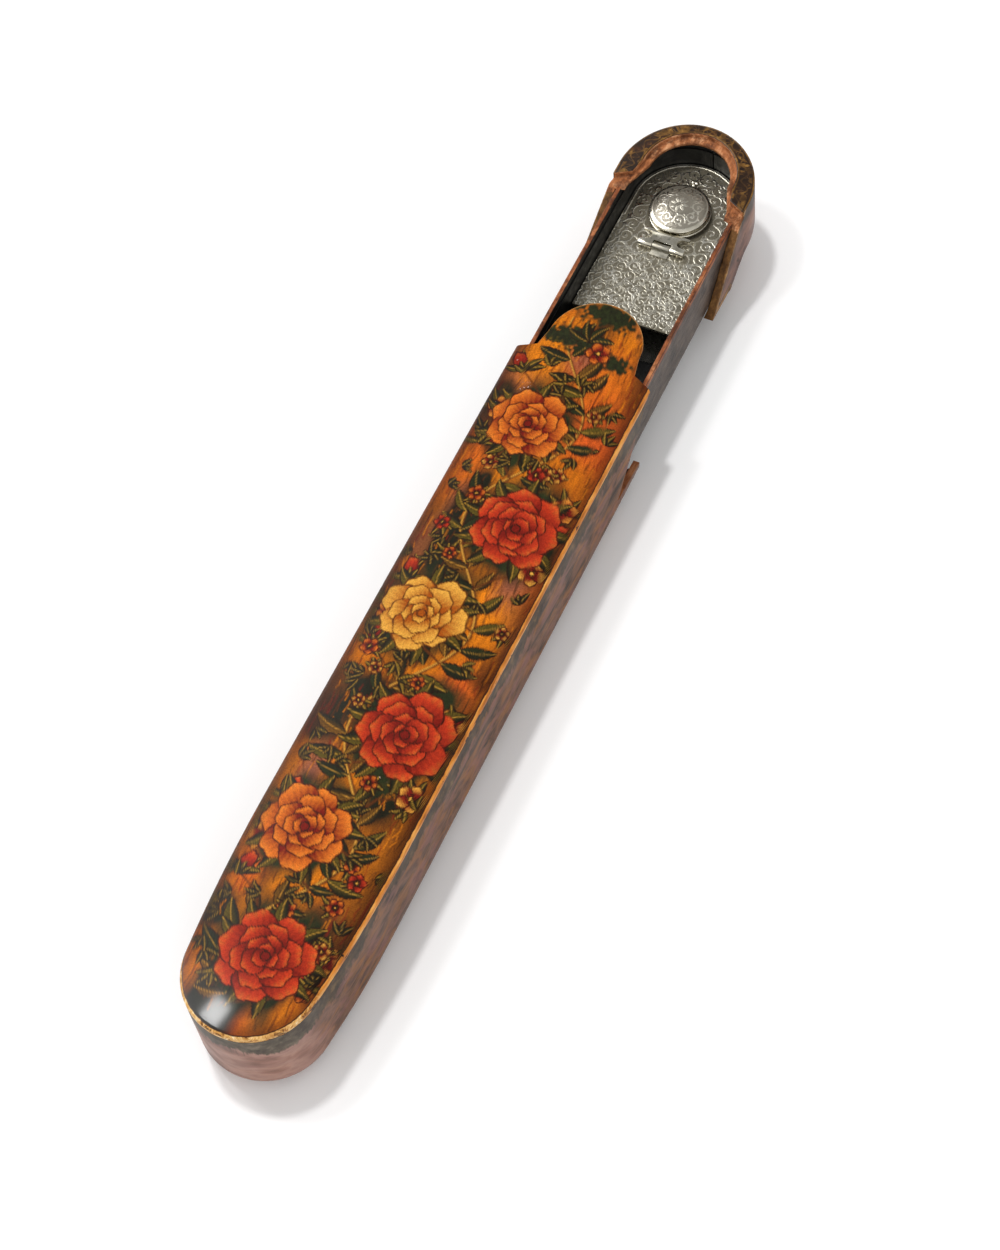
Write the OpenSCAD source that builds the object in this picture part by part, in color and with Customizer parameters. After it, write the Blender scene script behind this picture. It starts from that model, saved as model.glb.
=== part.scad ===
// Lacquered pen box: a sleeve with a rounded end, a sliding tray with its own head,
// and a silver inkwell with a hinged domed lid that stands in the tray.
// X runs along the box towards the tray's head, Y across it and Z up.
// The origin is the middle of the sleeve's flat base. The tray is drawn partly out.

/* [Case] */
// Width of the closed case
case_w = 38; // [34:0.5:44]
// Length of the sleeve, from its round end to the corners of its mouth
sleeve_l = 200; // [170:1:230]
// Height of the sharp edge between the top and the sides
edge_h = 30.4; // [28:0.2:34]
// Rise of the crowned top above that edge, along the middle
crown = 1.5; // [0.8:0.1:2.5]
// Thickness of the sleeve's wall
wall = 1.7; // [1.2:0.1:2]
// Radius between the sides and the base
base_r = 8.8; // [6:0.2:10]
// Radius between the far end and the base, in side view
bow_r = 16; // [12:0.5:17]
// Radius of the sleeve's closed end in plan
end_r = 16.8; // [15:0.1:17]
// Length over which the sleeve narrows to its closed end
taper_l = 58; // [45:1:70]
// Length of the tray's head beyond the corners of the mouth
head_l = 23.6; // [22:0.1:28]

/* [Mouth] */
// Length of the tongue on the sleeve's top, from the corners of the mouth
tongue_l = 20.2; // [18:0.1:20.5]
// Radius of the tongue's round end
tongue_r = 12.7; // [11:0.1:13]
// Half width of the tongue where it leaves the shoulders
tongue_root = 13.8; // [13:0.1:14.5]
// How far the shoulders slant forward to the tongue's root
shoulder = 2.2; // [1:0.1:3]
// Depth of the V notch in each side, back from the corners of the mouth
notch_l = 22.5; // [18:0.5:26]
// Height of the notch's point above the base
notch_h = 10; // [8:0.5:14]
// Set-back of the lip below each notch
base_set = 8.6; // [6:0.2:10]
// Height of the lip at its end
lip_h = 9; // [8:0.1:10]
// Gap all round where the head meets the sleeve
mouth_gap = 0.4; // [0.2:0.1:0.8]

/* [Tray] */
// How far the tray is drawn out
drawn = 61.4; // [50:0.2:75]
// Thickness of the trough's wall
trough_t = 1.2; // [0.8:0.1:1.6]
// Radius between the trough's sides and its floor
trough_r = 12; // [9:0.5:13]
// Gap between the trough and the inside of the sleeve
slide_gap = 0.4; // [0.3:0.1:0.8]
// Thickness of the ledge that the tongue lies on
ledge_t = 1; // [0.8:0.1:1.4]
// Width of the ledge at the round end of the U in the head
ledge_w = 1.8; // [1.2:0.1:2.4]
// How much the opening inside the ledge widens on each side towards the mouth
ledge_flare = 3; // [1:0.1:3.4]
// Thickness of the black wall lining
lining_t = 0.3; // [0.2:0.05:0.5]
// Place of the open seam in the lining, across the far end
seam_y = -2; // [-6:0.5:6]
// Width of that seam
seam_w = 0.5; // [0.3:0.1:1]

/* [Inkwell] */
// Length of the inkwell
well_l = 56; // [50:0.5:60]
// Height of the top of the inkwell's plate above the base
plate_z = 19.8; // [18:0.1:20]
// Thickness of the inkwell's plate
plate_t = 0.8; // [0.6:0.1:1.2]
// Thickness of the inkwell's walls and bottom
well_t = 0.7; // [0.5:0.1:1]
// Gap between the inkwell and the lining
well_gap = 0.3; // [0.2:0.05:0.5]
// Radius of the inkwell's mouth
mouth_r = 6.4; // [5:0.1:6.8]
// Height of the collar above the plate
collar_h = 0.9; // [0.6:0.1:1.2]
// Thickness of the collar's wall
collar_t = 0.6; // [0.4:0.1:0.8]
// Radius of the wadding in the inkwell
wad_r = 9; // [7:0.5:11]
// Depth of that wadding
wad_h = 6; // [4:0.5:8]

/* [Lid] */
// Radius of the lid's polished lower ring
step_r = 8.6; // [8:0.1:9.2]
// Height of that ring
step_h = 2.2; // [1.8:0.1:2.6]
// Radius of the engraved dome
dome_r = 8.2; // [7.6:0.1:8.4]
// Rise of the dome above the ring
dome_h = 2.2; // [1.8:0.1:2.6]
// Thickness of the lid's metal
lid_t = 0.6; // [0.5:0.05:0.8]
// Depth of the lid's inner tube below the ring
flange_h = 1.6; // [1:0.1:2]
// Gap between the inner tube and the collar
flange_gap = 0.15; // [0.1:0.05:0.25]
// Place of the hinge, from the inkwell's near edge
hinge_at = 25; // [22:0.5:27]
// Distance from the lid's middle to the hinge
hinge_d = 12.8; // [12:0.1:14]
// Length of the hinge barrel
barrel_l = 13.2; // [11:0.1:15]
// Length of the middle knuckle
knuckle_l = 5; // [4:0.1:6]
// Outer radius of the barrel
barrel_r = 1; // [0.8:0.05:1.1]
// Radius of the hinge pin
pin_r = 0.45; // [0.35:0.05:0.5]
// Radial clearance round the pin
pin_gap = 0.05; // [0.03:0.01:0.08]
// Gap between the knuckles
knuckle_gap = 0.15; // [0.1:0.05:0.25]
// Width of the strap at its waist
waist_w = 7.4; // [6:0.1:8]
// Radius of the round bays at the waist
waist_r = 1.4; // [1:0.1:1.6]
// Length of the fixed leaf
leaf_l = 2.6; // [2.2:0.1:4]
// Thickness of the fixed leaf
leaf_t = 0.4; // [0.3:0.05:0.5]
// Thickness of the lid's strap
strap_t = 0.7; // [0.5:0.05:0.8]
// Radius of the bud on the thumb-piece
bud_r = 1.1; // [0.8:0.1:1.3]
// Radius of the stem that carries the bud
stem_r = 0.6; // [0.4:0.05:0.65]
// Reach of the thumb-piece beyond the ring
bud_reach = 2.6; // [2.2:0.1:3]

/* [Hidden] */
$fn = 96;
// Slack by which a cutting shape runs past what it cuts
past = 10;
// Glue line between pieces of one body whose curved faces follow each other
glue = 0.05;
half_w = case_w / 2;
tip_x = -sleeve_l / 2;
mouth_x = sleeve_l / 2;
head_x = mouth_x + drawn;
far_x = head_x + head_l;
top_h = edge_h + crown;
crown_r = (half_w * half_w + crown * crown) / (2 * crown);
// Closed end in plan: an end arc, and side arcs that touch both it and the straight sides
end_x = tip_x + end_r;
taper_x = tip_x + taper_l;
taper_r = (pow(taper_l - end_r, 2) + half_w * half_w - end_r * end_r) / (2 * (half_w - end_r));
taper_a = atan((taper_x - end_x) / (taper_r - half_w));
far_cx = far_x - half_w;
// Steps of the arcs in plan
side_steps = 6;
end_steps = 36;
// Trough inside the sleeve
trough_in = wall + slide_gap;
trough_z = wall + slide_gap;
trough_h = edge_h - wall - slide_gap;
under_tongue = wall + mouth_gap / 2;
ledge_under = under_tongue + ledge_t + glue;
// Inkwell inside the lining
lined = trough_in + trough_t + lining_t + glue;
well_in = lined + well_gap;
well_r = trough_r - trough_t;
well_z = trough_z + trough_t;
well_far = far_x - well_in;
well_x = well_far - well_l;
// Lid
collar_z = plate_z + collar_h;
lid_z = collar_z;
hinge_x = well_x + hinge_at;
lid_x = hinge_x + hinge_d;
hinge_z = plate_z + barrel_r + pin_gap;
cap_z = lid_z + step_h;
cap_ball_r = (dome_r * dome_r + dome_h * dome_h) / (2 * dome_h);

// Points of an arc round a centre, in plan
function arc(cx, cy, r, a0, a1, n) =
    [for (i = [0:n]) let (a = a0 + (a1 - a0) * i / n) [cx + r * cos(a), cy + r * sin(a)]];

// Closed end in plan, set in by d and moved along by s: side arc, end arc, side arc
function closed_end(d, s) = concat(
    arc(taper_x + s, half_w - taper_r, taper_r - d, 90, 90 + taper_a, side_steps),
    arc(end_x + s, 0, end_r - d, 90 + taper_a, 270 - taper_a, end_steps),
    arc(taper_x + s, taper_r - half_w, taper_r - d, 270 - taper_a, 270, side_steps)
);

// Round far end in plan, set in by d
function far_end(d) = arc(far_cx, 0, half_w - d, -90, 90, end_steps);

// Straight mouth in plan at x, set in by d
function mouth_end(x, d) = [[x, d - half_w], [x, half_w - d]];

// Upright block from a to b with round feet, of which the one at b may be larger
module footed(a, b, foot, z0, z1, bow = 0) {
    difference() {
        translate([a, z0]) square([b - a, z1 - z0]);
        if (foot > 0) {
            translate([b - max(foot, bow), z0]) foot_corner(max(foot, bow));
            translate([a + foot, z0]) mirror([1, 0]) foot_corner(foot);
        }
    }
}

// What a round foot takes off a corner
module foot_corner(foot) {
    difference() {
        translate([0, -past]) square([foot + past, foot + past]);
        translate([0, foot]) circle(foot);
    }
}

// Solid over a plan that runs from x0 to x1, set in by d, with round feet all round
module boat(plan, x0, x1, d, foot, z0, z1, bow = 0) {
    intersection() {
        translate([0, 0, z0 - past]) linear_extrude(z1 - z0 + 2 * past) polygon(plan);
        translate([x0 - past, 0, 0]) rotate([90, 0, 90]) linear_extrude(x1 - x0 + 2 * past)
            footed(d - half_w, half_w - d, foot, z0, z1);
        translate([0, case_w, 0]) rotate([90, 0, 0]) linear_extrude(2 * case_w)
            footed(x0, x1, foot, z0, z1, bow);
    }
}

// Everything under the crowned top, lowered by drop
module under_crown(drop) {
    translate([tip_x - past, 0, top_h - crown_r - drop]) rotate([0, 90, 0])
        cylinder(r = crown_r, h = far_x - tip_x + 2 * past, $fn = 720);
}

// Plan of the tongue and the shoulders, grown by g
module tongue_plan(g) {
    round_x = mouth_x + tongue_l - tongue_r;
    translate([round_x, 0]) circle(tongue_r + g);
    polygon([
        [tip_x, -half_w - past], [mouth_x - shoulder * past / (half_w - tongue_root) + g, -half_w - past],
        [mouth_x + shoulder + g, -tongue_root - g], [round_x, -tongue_r - g],
        [round_x, tongue_r + g], [mouth_x + shoulder + g, tongue_root + g],
        [mouth_x - shoulder * past / (half_w - tongue_root) + g, half_w + past], [tip_x, half_w + past]
    ]);
}

// What belongs to the sleeve, grown by g: all behind the V notches, and the tongue to a depth
module sleeve_side(g, depth) {
    translate([0, half_w + past, 0]) rotate([90, 0, 0]) linear_extrude(case_w + 2 * past)
        polygon([
            [tip_x - past, -past], [mouth_x - base_set + g, -past], [mouth_x - base_set + g, lip_h + g],
            [mouth_x - notch_l + 2.2 * g, notch_h + g], [mouth_x + g, edge_h], [mouth_x - past, top_h + past],
            [tip_x - past, top_h + past]
        ]);
    difference() {
        translate([0, 0, edge_h - 2 * wall]) linear_extrude(2 * past) tongue_plan(g);
        under_crown(depth);
    }
}

// Sleeve's outline as a solid, set in by d, open at x1
module sleeve_block(d, foot, z0, x1) {
    intersection() {
        boat(concat(closed_end(d, 0), mouth_end(x1, d)), tip_x + d, x1 + foot, d, foot, z0, top_h + past);
        under_crown(d);
    }
}

// Trough's outline as a solid, set in by d
module trough_block(d, foot, z0, z1) {
    boat(concat(closed_end(d, drawn), far_end(d)), tip_x + drawn + d, far_x - d, d, foot, z0, z1);
}

// Far end of the case as a solid, from x0 on, set in by d
module head_block(x0, d, foot, z0, z1, bow = 0) {
    plan = concat(far_end(d), [[x0, half_w - d], [x0, d - half_w]]);
    boat(plan, x0 - foot, far_x - d, d, foot, z0, z1, bow);
}

module sleeve_shell() {
    mouth_end_x = mouth_x + tongue_l + past;
    color("peru") intersection() {
        difference() {
            sleeve_block(0, base_r, 0, mouth_end_x);
            sleeve_block(wall, base_r - wall, wall, mouth_end_x + past);
        }
        sleeve_side(0, wall);
    }
}

module tray_trough() {
    color("sienna") difference() {
        trough_block(trough_in, trough_r, trough_z, trough_h);
        trough_block(trough_in + trough_t, trough_r - trough_t, trough_z + trough_t, trough_h + past);
        difference() {
            translate([head_x - mouth_gap, -case_w, edge_h - ledge_under - crown])
                cube([head_l + past, 2 * case_w, past]);
            under_crown(ledge_under);
        }
    }
}

module tray_head() {
    color("saddlebrown") difference() {
        intersection() {
            head_block(head_x - notch_l - past, 0, base_r, 0, top_h + past, bow_r);
            under_crown(0);
        }
        translate([drawn, 0, 0]) sleeve_side(mouth_gap, under_tongue);
        intersection() {
            trough_block(trough_in - glue, trough_r + glue, trough_z - glue, top_h + past);
            under_crown(ledge_under - glue);
        }
        ledge_opening();
    }
}

// Opening inside the ledge that the tongue lies on
module ledge_opening() {
    r = tongue_r + mouth_gap - ledge_w;
    round_x = head_x + tongue_l - tongue_r;
    translate([0, 0, edge_h - past]) linear_extrude(2 * past) {
        translate([round_x, 0]) circle(r);
        polygon([
            [round_x, -r], [round_x, r], [head_x, r + ledge_flare], [head_x - past, r + ledge_flare],
            [head_x - past, -r - ledge_flare], [head_x, -r - ledge_flare]
        ]);
    }
}

module tray_lining() {
    d = trough_in + trough_t + glue;
    z0 = trough_z + trough_r;
    z1 = edge_h - ledge_under - crown;
    color("black") difference() {
        trough_block(d, 0, z0, z1);
        trough_block(d + lining_t, 0, z0 - past, z1 + past);
        translate([far_cx, seam_y - seam_w / 2, z0 - past]) cube([half_w, seam_w, z1 + past]);
    }
}

module inkwell_box() {
    color("silver") difference() {
        head_block(well_x, well_in, well_r, well_z, plate_z - plate_t);
        head_block(well_x + well_t, well_in + well_t, well_r - well_t, well_z + well_t, plate_z);
    }
}

module inkwell_plate() {
    color("gainsboro") difference() {
        intersection() {
            head_block(well_x, well_in, well_r, well_z, plate_z);
            translate([well_x - past, -case_w, plate_z - plate_t])
                cube([well_l + 2 * past, 2 * case_w, plate_t]);
        }
        translate([lid_x, 0, well_z]) cylinder(r = mouth_r, h = plate_z);
    }
}

module mouth_collar() {
    color("silver") translate([lid_x, 0, plate_z]) difference() {
        cylinder(r = mouth_r + collar_t, h = collar_h);
        translate([0, 0, -past]) cylinder(r = mouth_r, h = 3 * past);
    }
}

// One knuckle of the hinge, between two places across the lid
module knuckle(y0, y1) {
    translate([hinge_x, y1, hinge_z]) rotate([90, 0, 0]) difference() {
        cylinder(r = barrel_r, h = y1 - y0);
        translate([0, 0, -past]) cylinder(r = pin_r + pin_gap, h = barrel_l + 2 * past);
    }
}

module hinge_leaf() {
    color("silver") difference() {
        union() {
            knuckle(-knuckle_l / 2, knuckle_l / 2);
            translate([hinge_x - leaf_l, -knuckle_l / 2, plate_z]) cube([leaf_l, knuckle_l, leaf_t]);
        }
        translate([hinge_x, knuckle_l, hinge_z]) rotate([90, 0, 0])
            cylinder(r = pin_r + pin_gap, h = 2 * knuckle_l);
    }
}

module hinge_pin() {
    color("gray") translate([hinge_x, barrel_l / 2, hinge_z]) rotate([90, 0, 0])
        cylinder(r = pin_r, h = barrel_l);
}

module ink_wadding() {
    d = well_in + well_t + glue;
    z0 = well_z + well_t + glue;
    color("black") intersection() {
        translate([lid_x, 0, 0]) cylinder(r = wad_r, h = z0 + wad_h);
        head_block(well_x, d, well_r - well_t - glue, z0, plate_z);
    }
}

module lid_step() {
    color("white") translate([lid_x, 0, lid_z]) difference() {
        cylinder(r = step_r, h = step_h);
        translate([0, 0, -past]) cylinder(r = mouth_r - flange_gap + glue, h = 3 * past);
    }
}

module lid_dome() {
    color("silver") translate([lid_x, 0, cap_z]) difference() {
        dome_cap(dome_r, dome_h, cap_ball_r);
        translate([0, 0, -lid_t]) dome_cap(dome_r, dome_h, cap_ball_r);
    }
}

module dome_cap(r, h, ball) {
    intersection() {
        translate([0, 0, h - ball]) sphere(ball);
        cylinder(r = 2 * r, h = 2 * h);
    }
}

module lid_flange() {
    color("silver") translate([lid_x, 0, lid_z - flange_h]) difference() {
        cylinder(r = mouth_r - flange_gap, h = flange_h + step_h);
        translate([0, 0, -past]) cylinder(r = mouth_r - flange_gap - lid_t, h = 3 * past);
    }
}

module lid_strap() {
    color("silver") difference() {
        union() {
            knuckle(knuckle_l / 2 + knuckle_gap, barrel_l / 2);
            knuckle(-barrel_l / 2, -knuckle_l / 2 - knuckle_gap);
            translate([hinge_x, -barrel_l / 2, hinge_z + barrel_r - strap_t])
                cube([hinge_d - dome_r, barrel_l, strap_t]);
        }
        translate([lid_x, 0, 0]) cylinder(r = step_r + glue, h = 2 * top_h);
        translate([hinge_x, barrel_l, hinge_z]) rotate([90, 0, 0])
            cylinder(r = pin_r + pin_gap, h = 2 * barrel_l);
        translate([hinge_x - past, -knuckle_l / 2 - knuckle_gap, hinge_z - 2 * barrel_r])
            cube([past + barrel_r + knuckle_gap, knuckle_l + 2 * knuckle_gap, 4 * barrel_r]);
        for (s = [-1, 1]) {
            translate([hinge_x + barrel_r + waist_r, s * (waist_w / 2 + waist_r), 0])
                cylinder(r = waist_r, h = 2 * top_h);
            translate([hinge_x + barrel_r, s * (waist_w / 2 + waist_r + past / 2) - past / 2, 0])
                cube([2 * waist_r, past, 2 * top_h]);
        }
    }
}

module lid_thumbpiece() {
    bud_z = lid_z + step_h / 2;
    color("silver") difference() {
        union() {
            translate([lid_x + step_r + bud_reach - bud_r, 0, bud_z]) sphere(bud_r);
            translate([lid_x, 0, bud_z]) rotate([0, 90, 0])
                cylinder(r = stem_r, h = step_r + bud_reach - bud_r);
        }
        translate([lid_x, 0, 0]) cylinder(r = step_r + glue, h = 2 * top_h);
    }
}

sleeve_shell();
tray_trough();
tray_head();
tray_lining();
inkwell_box();
inkwell_plate();
mouth_collar();
hinge_leaf();
hinge_pin();
ink_wadding();
lid_step();
lid_dome();
lid_flange();
lid_strap();
lid_thumbpiece();
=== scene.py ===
import math
from contextlib import contextmanager

import bmesh
import bpy
import numpy as np
from mathutils import Matrix, Vector


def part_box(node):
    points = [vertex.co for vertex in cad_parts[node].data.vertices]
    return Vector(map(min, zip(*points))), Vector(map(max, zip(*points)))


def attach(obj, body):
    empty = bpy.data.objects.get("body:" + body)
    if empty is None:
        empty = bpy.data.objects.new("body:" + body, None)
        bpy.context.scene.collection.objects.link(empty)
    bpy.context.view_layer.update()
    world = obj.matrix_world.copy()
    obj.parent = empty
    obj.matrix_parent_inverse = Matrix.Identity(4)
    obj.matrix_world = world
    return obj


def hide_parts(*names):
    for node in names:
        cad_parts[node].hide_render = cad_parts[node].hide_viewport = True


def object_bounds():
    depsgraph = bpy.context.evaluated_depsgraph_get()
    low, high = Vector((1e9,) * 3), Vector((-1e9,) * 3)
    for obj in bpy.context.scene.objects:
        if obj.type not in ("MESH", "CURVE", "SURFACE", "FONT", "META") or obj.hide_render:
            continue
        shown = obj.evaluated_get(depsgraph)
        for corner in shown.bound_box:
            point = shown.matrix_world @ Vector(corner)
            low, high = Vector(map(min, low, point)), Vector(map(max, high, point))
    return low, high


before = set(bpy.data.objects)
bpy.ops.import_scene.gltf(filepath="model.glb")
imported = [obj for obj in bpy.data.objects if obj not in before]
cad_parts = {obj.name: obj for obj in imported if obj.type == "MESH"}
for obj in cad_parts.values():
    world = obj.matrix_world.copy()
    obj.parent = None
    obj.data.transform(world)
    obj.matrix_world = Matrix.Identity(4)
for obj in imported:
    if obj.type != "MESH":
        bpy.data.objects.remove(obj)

# Lacquered pen box with its tray drawn out and a silver inkwell in the tray's head.
# Lengths below are in millimetres; meshes are made in metres.
CAD_BOX = [list(c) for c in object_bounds()]
MM = 0.001


def node_box(node):
    lo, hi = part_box(node)
    return np.array(lo) / MM, np.array(hi) / MM


SLEEVE_LO, SLEEVE_HI = node_box("sleeve_shell")
TROUGH_LO, TROUGH_HI = node_box("tray_trough")
HEAD_HI = node_box("tray_head")[1]
PLATE_LO, PLATE_HI = node_box("inkwell_plate")
STEP_LO, STEP_HI = node_box("lid_step")
DOME_LO, DOME_HI = node_box("lid_dome")
FLANGE_LO, FLANGE_HI = node_box("lid_flange")
COLLAR_LO, COLLAR_HI = node_box("mouth_collar")
BUD_LO, BUD_HI = node_box("lid_thumbpiece")
WAD_LO, WAD_HI = node_box("ink_wadding")

# Case: plan, section and mouth
HALF_W = SLEEVE_HI[1]
TIP_X = SLEEVE_LO[0]
TOP_H = SLEEVE_HI[2]
MOUTH_X = 100.0
CROWN = 1.5
EDGE_H = TOP_H - CROWN
CROWN_R = (HALF_W ** 2 + CROWN ** 2) / (2 * CROWN)
WALL = 1.7
FOOT_R = 8.8
END_R = 16.8
TAPER_L = 58.0
END_X = TIP_X + END_R
TAPER_X = TIP_X + TAPER_L
TAPER_R = ((TAPER_L - END_R) ** 2 + HALF_W ** 2 - END_R ** 2) / (2 * (HALF_W - END_R))
TAPER_A = math.atan((TAPER_X - END_X) / (TAPER_R - HALF_W))
TONGUE_R = 12.7
TONGUE_CX = SLEEVE_HI[0] - TONGUE_R
TONGUE_ROOT = 13.8
SHOULDER = 2.2
NOTCH_L = 22.5
NOTCH_H = 10.0
BASE_SET = 8.6
LIP_H = 9.0
EDGE_ROUND = 0.9
END_FALL = 0.9
NEAR_FOOT = 6.6
NEAR_FOOT_RUN = 30.0
# Head and trough of the tray
BOW_R = 16.0
BOW_RUN = 19.0
HEAD_SKIN = 1.2
FAR_X = HEAD_HI[0]
FAR_CX = FAR_X - HALF_W
DRAWN = 61.4
HEAD_X = MOUTH_X + DRAWN
MOUTH_GAP = 0.4
U_R = TONGUE_R + MOUTH_GAP
U_CX = TONGUE_CX + DRAWN
LAPPET_SPRING = 3.2
LAPPET_SPRING_OTHER = 0.2
TROUGH_IN = HALF_W - TROUGH_HI[1]
TROUGH_T = 1.2
TROUGH_R = 12.0
RIM_H = 1.5
# Inkwell and its lid
PLATE_W = PLATE_HI[1]
CUT_DEPTH = 0.09
LID_X = (STEP_LO[0] + STEP_HI[0]) / 2
STEP_R = (STEP_HI[0] - STEP_LO[0]) / 2
DOME_R = (DOME_HI[0] - DOME_LO[0]) / 2
DOME_H = DOME_HI[2] - DOME_LO[2]
FLANGE_R = (FLANGE_HI[0] - FLANGE_LO[0]) / 2
COLLAR_R = (COLLAR_HI[0] - COLLAR_LO[0]) / 2
MOUTH_R = 6.4
SHEET_T = 0.6
# Turns in radians: the range of a random one, and a full one
ANY_TURN = 6.28
FULL_TURN = 6.2832


def linear(r, g, b):
    """Linear colour of a screen colour given from 0 to 255."""
    c = np.array([r, g, b]) / 255.0
    return tuple(np.where(c <= 0.04045, c / 12.92, ((c + 0.055) / 1.055) ** 2.4))


def outward(x, y, angle, distance):
    """The place at a distance from another one, in a direction."""
    return x + math.cos(angle) * distance, y + math.sin(angle) * distance


# Meshes

def add_object(name, data):
    thing = bpy.data.objects.new(name, data)
    bpy.context.scene.collection.objects.link(thing)
    return thing


def new_piece(name, verts_mm, faces):
    mesh = bpy.data.meshes.new(name)
    points = (np.asarray(verts_mm, float) * MM).tolist()
    mesh.from_pydata(points, [], [tuple(int(i) for i in f) for f in faces])
    mesh.update()
    return add_object(name, mesh)


@contextmanager
def edited(mesh):
    """The mesh opened for editing, and written back after."""
    bm = bmesh.new()
    bm.from_mesh(mesh)
    yield bm
    bm.to_mesh(mesh)
    bm.free()


def bake(piece):
    """Put the result of a piece's modifiers in their place."""
    graph = bpy.context.evaluated_depsgraph_get()
    mesh = bpy.data.meshes.new_from_object(piece.evaluated_get(graph))
    piece.modifiers.clear()
    piece.data = mesh


def smooth(piece, angle=35.0):
    """Smooth shading, with sharp edges above an angle."""
    piece.data.shade_smooth()
    piece.data.set_sharp_from_angle(angle=math.radians(angle))
    return piece


def settle(piece, angle=35.0):
    """Merged corners, outward faces and smooth shading."""
    with edited(piece.data) as bm:
        bmesh.ops.remove_doubles(bm, verts=bm.verts, dist=2e-7)
        bmesh.ops.recalc_face_normals(bm, faces=bm.faces)
    return smooth(piece, angle)


def strip(a, b, loop=False):
    """Quads between two rows of vertex numbers."""
    n = len(a)
    last = n if loop else n - 1
    return [(a[i], a[(i + 1) % n], b[(i + 1) % n], b[i]) for i in range(last)]


def sheet(grid):
    """Quads of a grid of vertex numbers."""
    corners = (grid[:-1, :-1], grid[:-1, 1:], grid[1:, 1:], grid[1:, :-1])
    return np.stack(corners, -1).reshape(-1, 4)


def skin_strips(outer, inner, loop=False):
    """Quads of an outer skin and of an inner one that faces the other way."""
    faces = []
    for a, b in zip(outer[:-1], outer[1:]):
        faces += strip(a, b, loop)
    for a, b in zip(inner[:-1], inner[1:]):
        faces += strip(b, a, loop)
    return faces


def put_floats(mesh, name, values):
    layer = mesh.attributes.new(name, "FLOAT", "POINT")
    layer.data.foreach_set("value", np.asarray(values, np.float32))


def put_colours(mesh, name, rgb):
    rgba = np.ones((len(rgb), 4), np.float32)
    rgba[:, :3] = rgb
    mesh.attributes.new(name, "FLOAT_COLOR", "POINT").data.foreach_set("color", rgba.ravel())


def coords_mm(mesh):
    co = np.empty(len(mesh.vertices) * 3, np.float32)
    mesh.vertices.foreach_get("co", co)
    return co.reshape(-1, 3) / MM


def place(piece, body, slot_name, materials, *nodes):
    for m in materials if isinstance(materials, (list, tuple)) else [materials]:
        piece.data.materials.append(m)
    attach(piece, body)
    if nodes:
        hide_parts(*nodes)
    return piece


# Nodes and node materials

def feed(tree, socket, value):
    """Link a socket to another one, or set its value."""
    if isinstance(value, bpy.types.NodeSocket):
        tree.links.new(value, socket)
    elif isinstance(value, (tuple, list)) and socket.type == "RGBA" and len(value) == 3:
        socket.default_value = (*value, 1.0)
    else:
        socket.default_value = value


def add_node(tree, kind, **inputs):
    """A new node with some inputs fed; an underscore in an input's name stands for a space."""
    n = tree.nodes.new(kind)
    for key, value in inputs.items():
        feed(tree, n.inputs[key.replace("_", " ")], value)
    return n


def add_math(tree, kind, operation, *values):
    """A new math node with its inputs fed in order."""
    n = tree.nodes.new(kind)
    n.operation = operation
    for socket, value in zip(n.inputs, values):
        feed(tree, socket, value)
    return n


def add_ramp(tree, fac, *stops):
    n = tree.nodes.new("ShaderNodeValToRGB")
    feed(tree, n.inputs[0], fac)
    items = n.color_ramp.elements
    while len(items) < len(stops):
        items.new(0.5)
    for item, (at, colour) in zip(items, stops):
        item.position = at
        item.color = (*colour, 1.0)
    return n.outputs[0]


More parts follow.
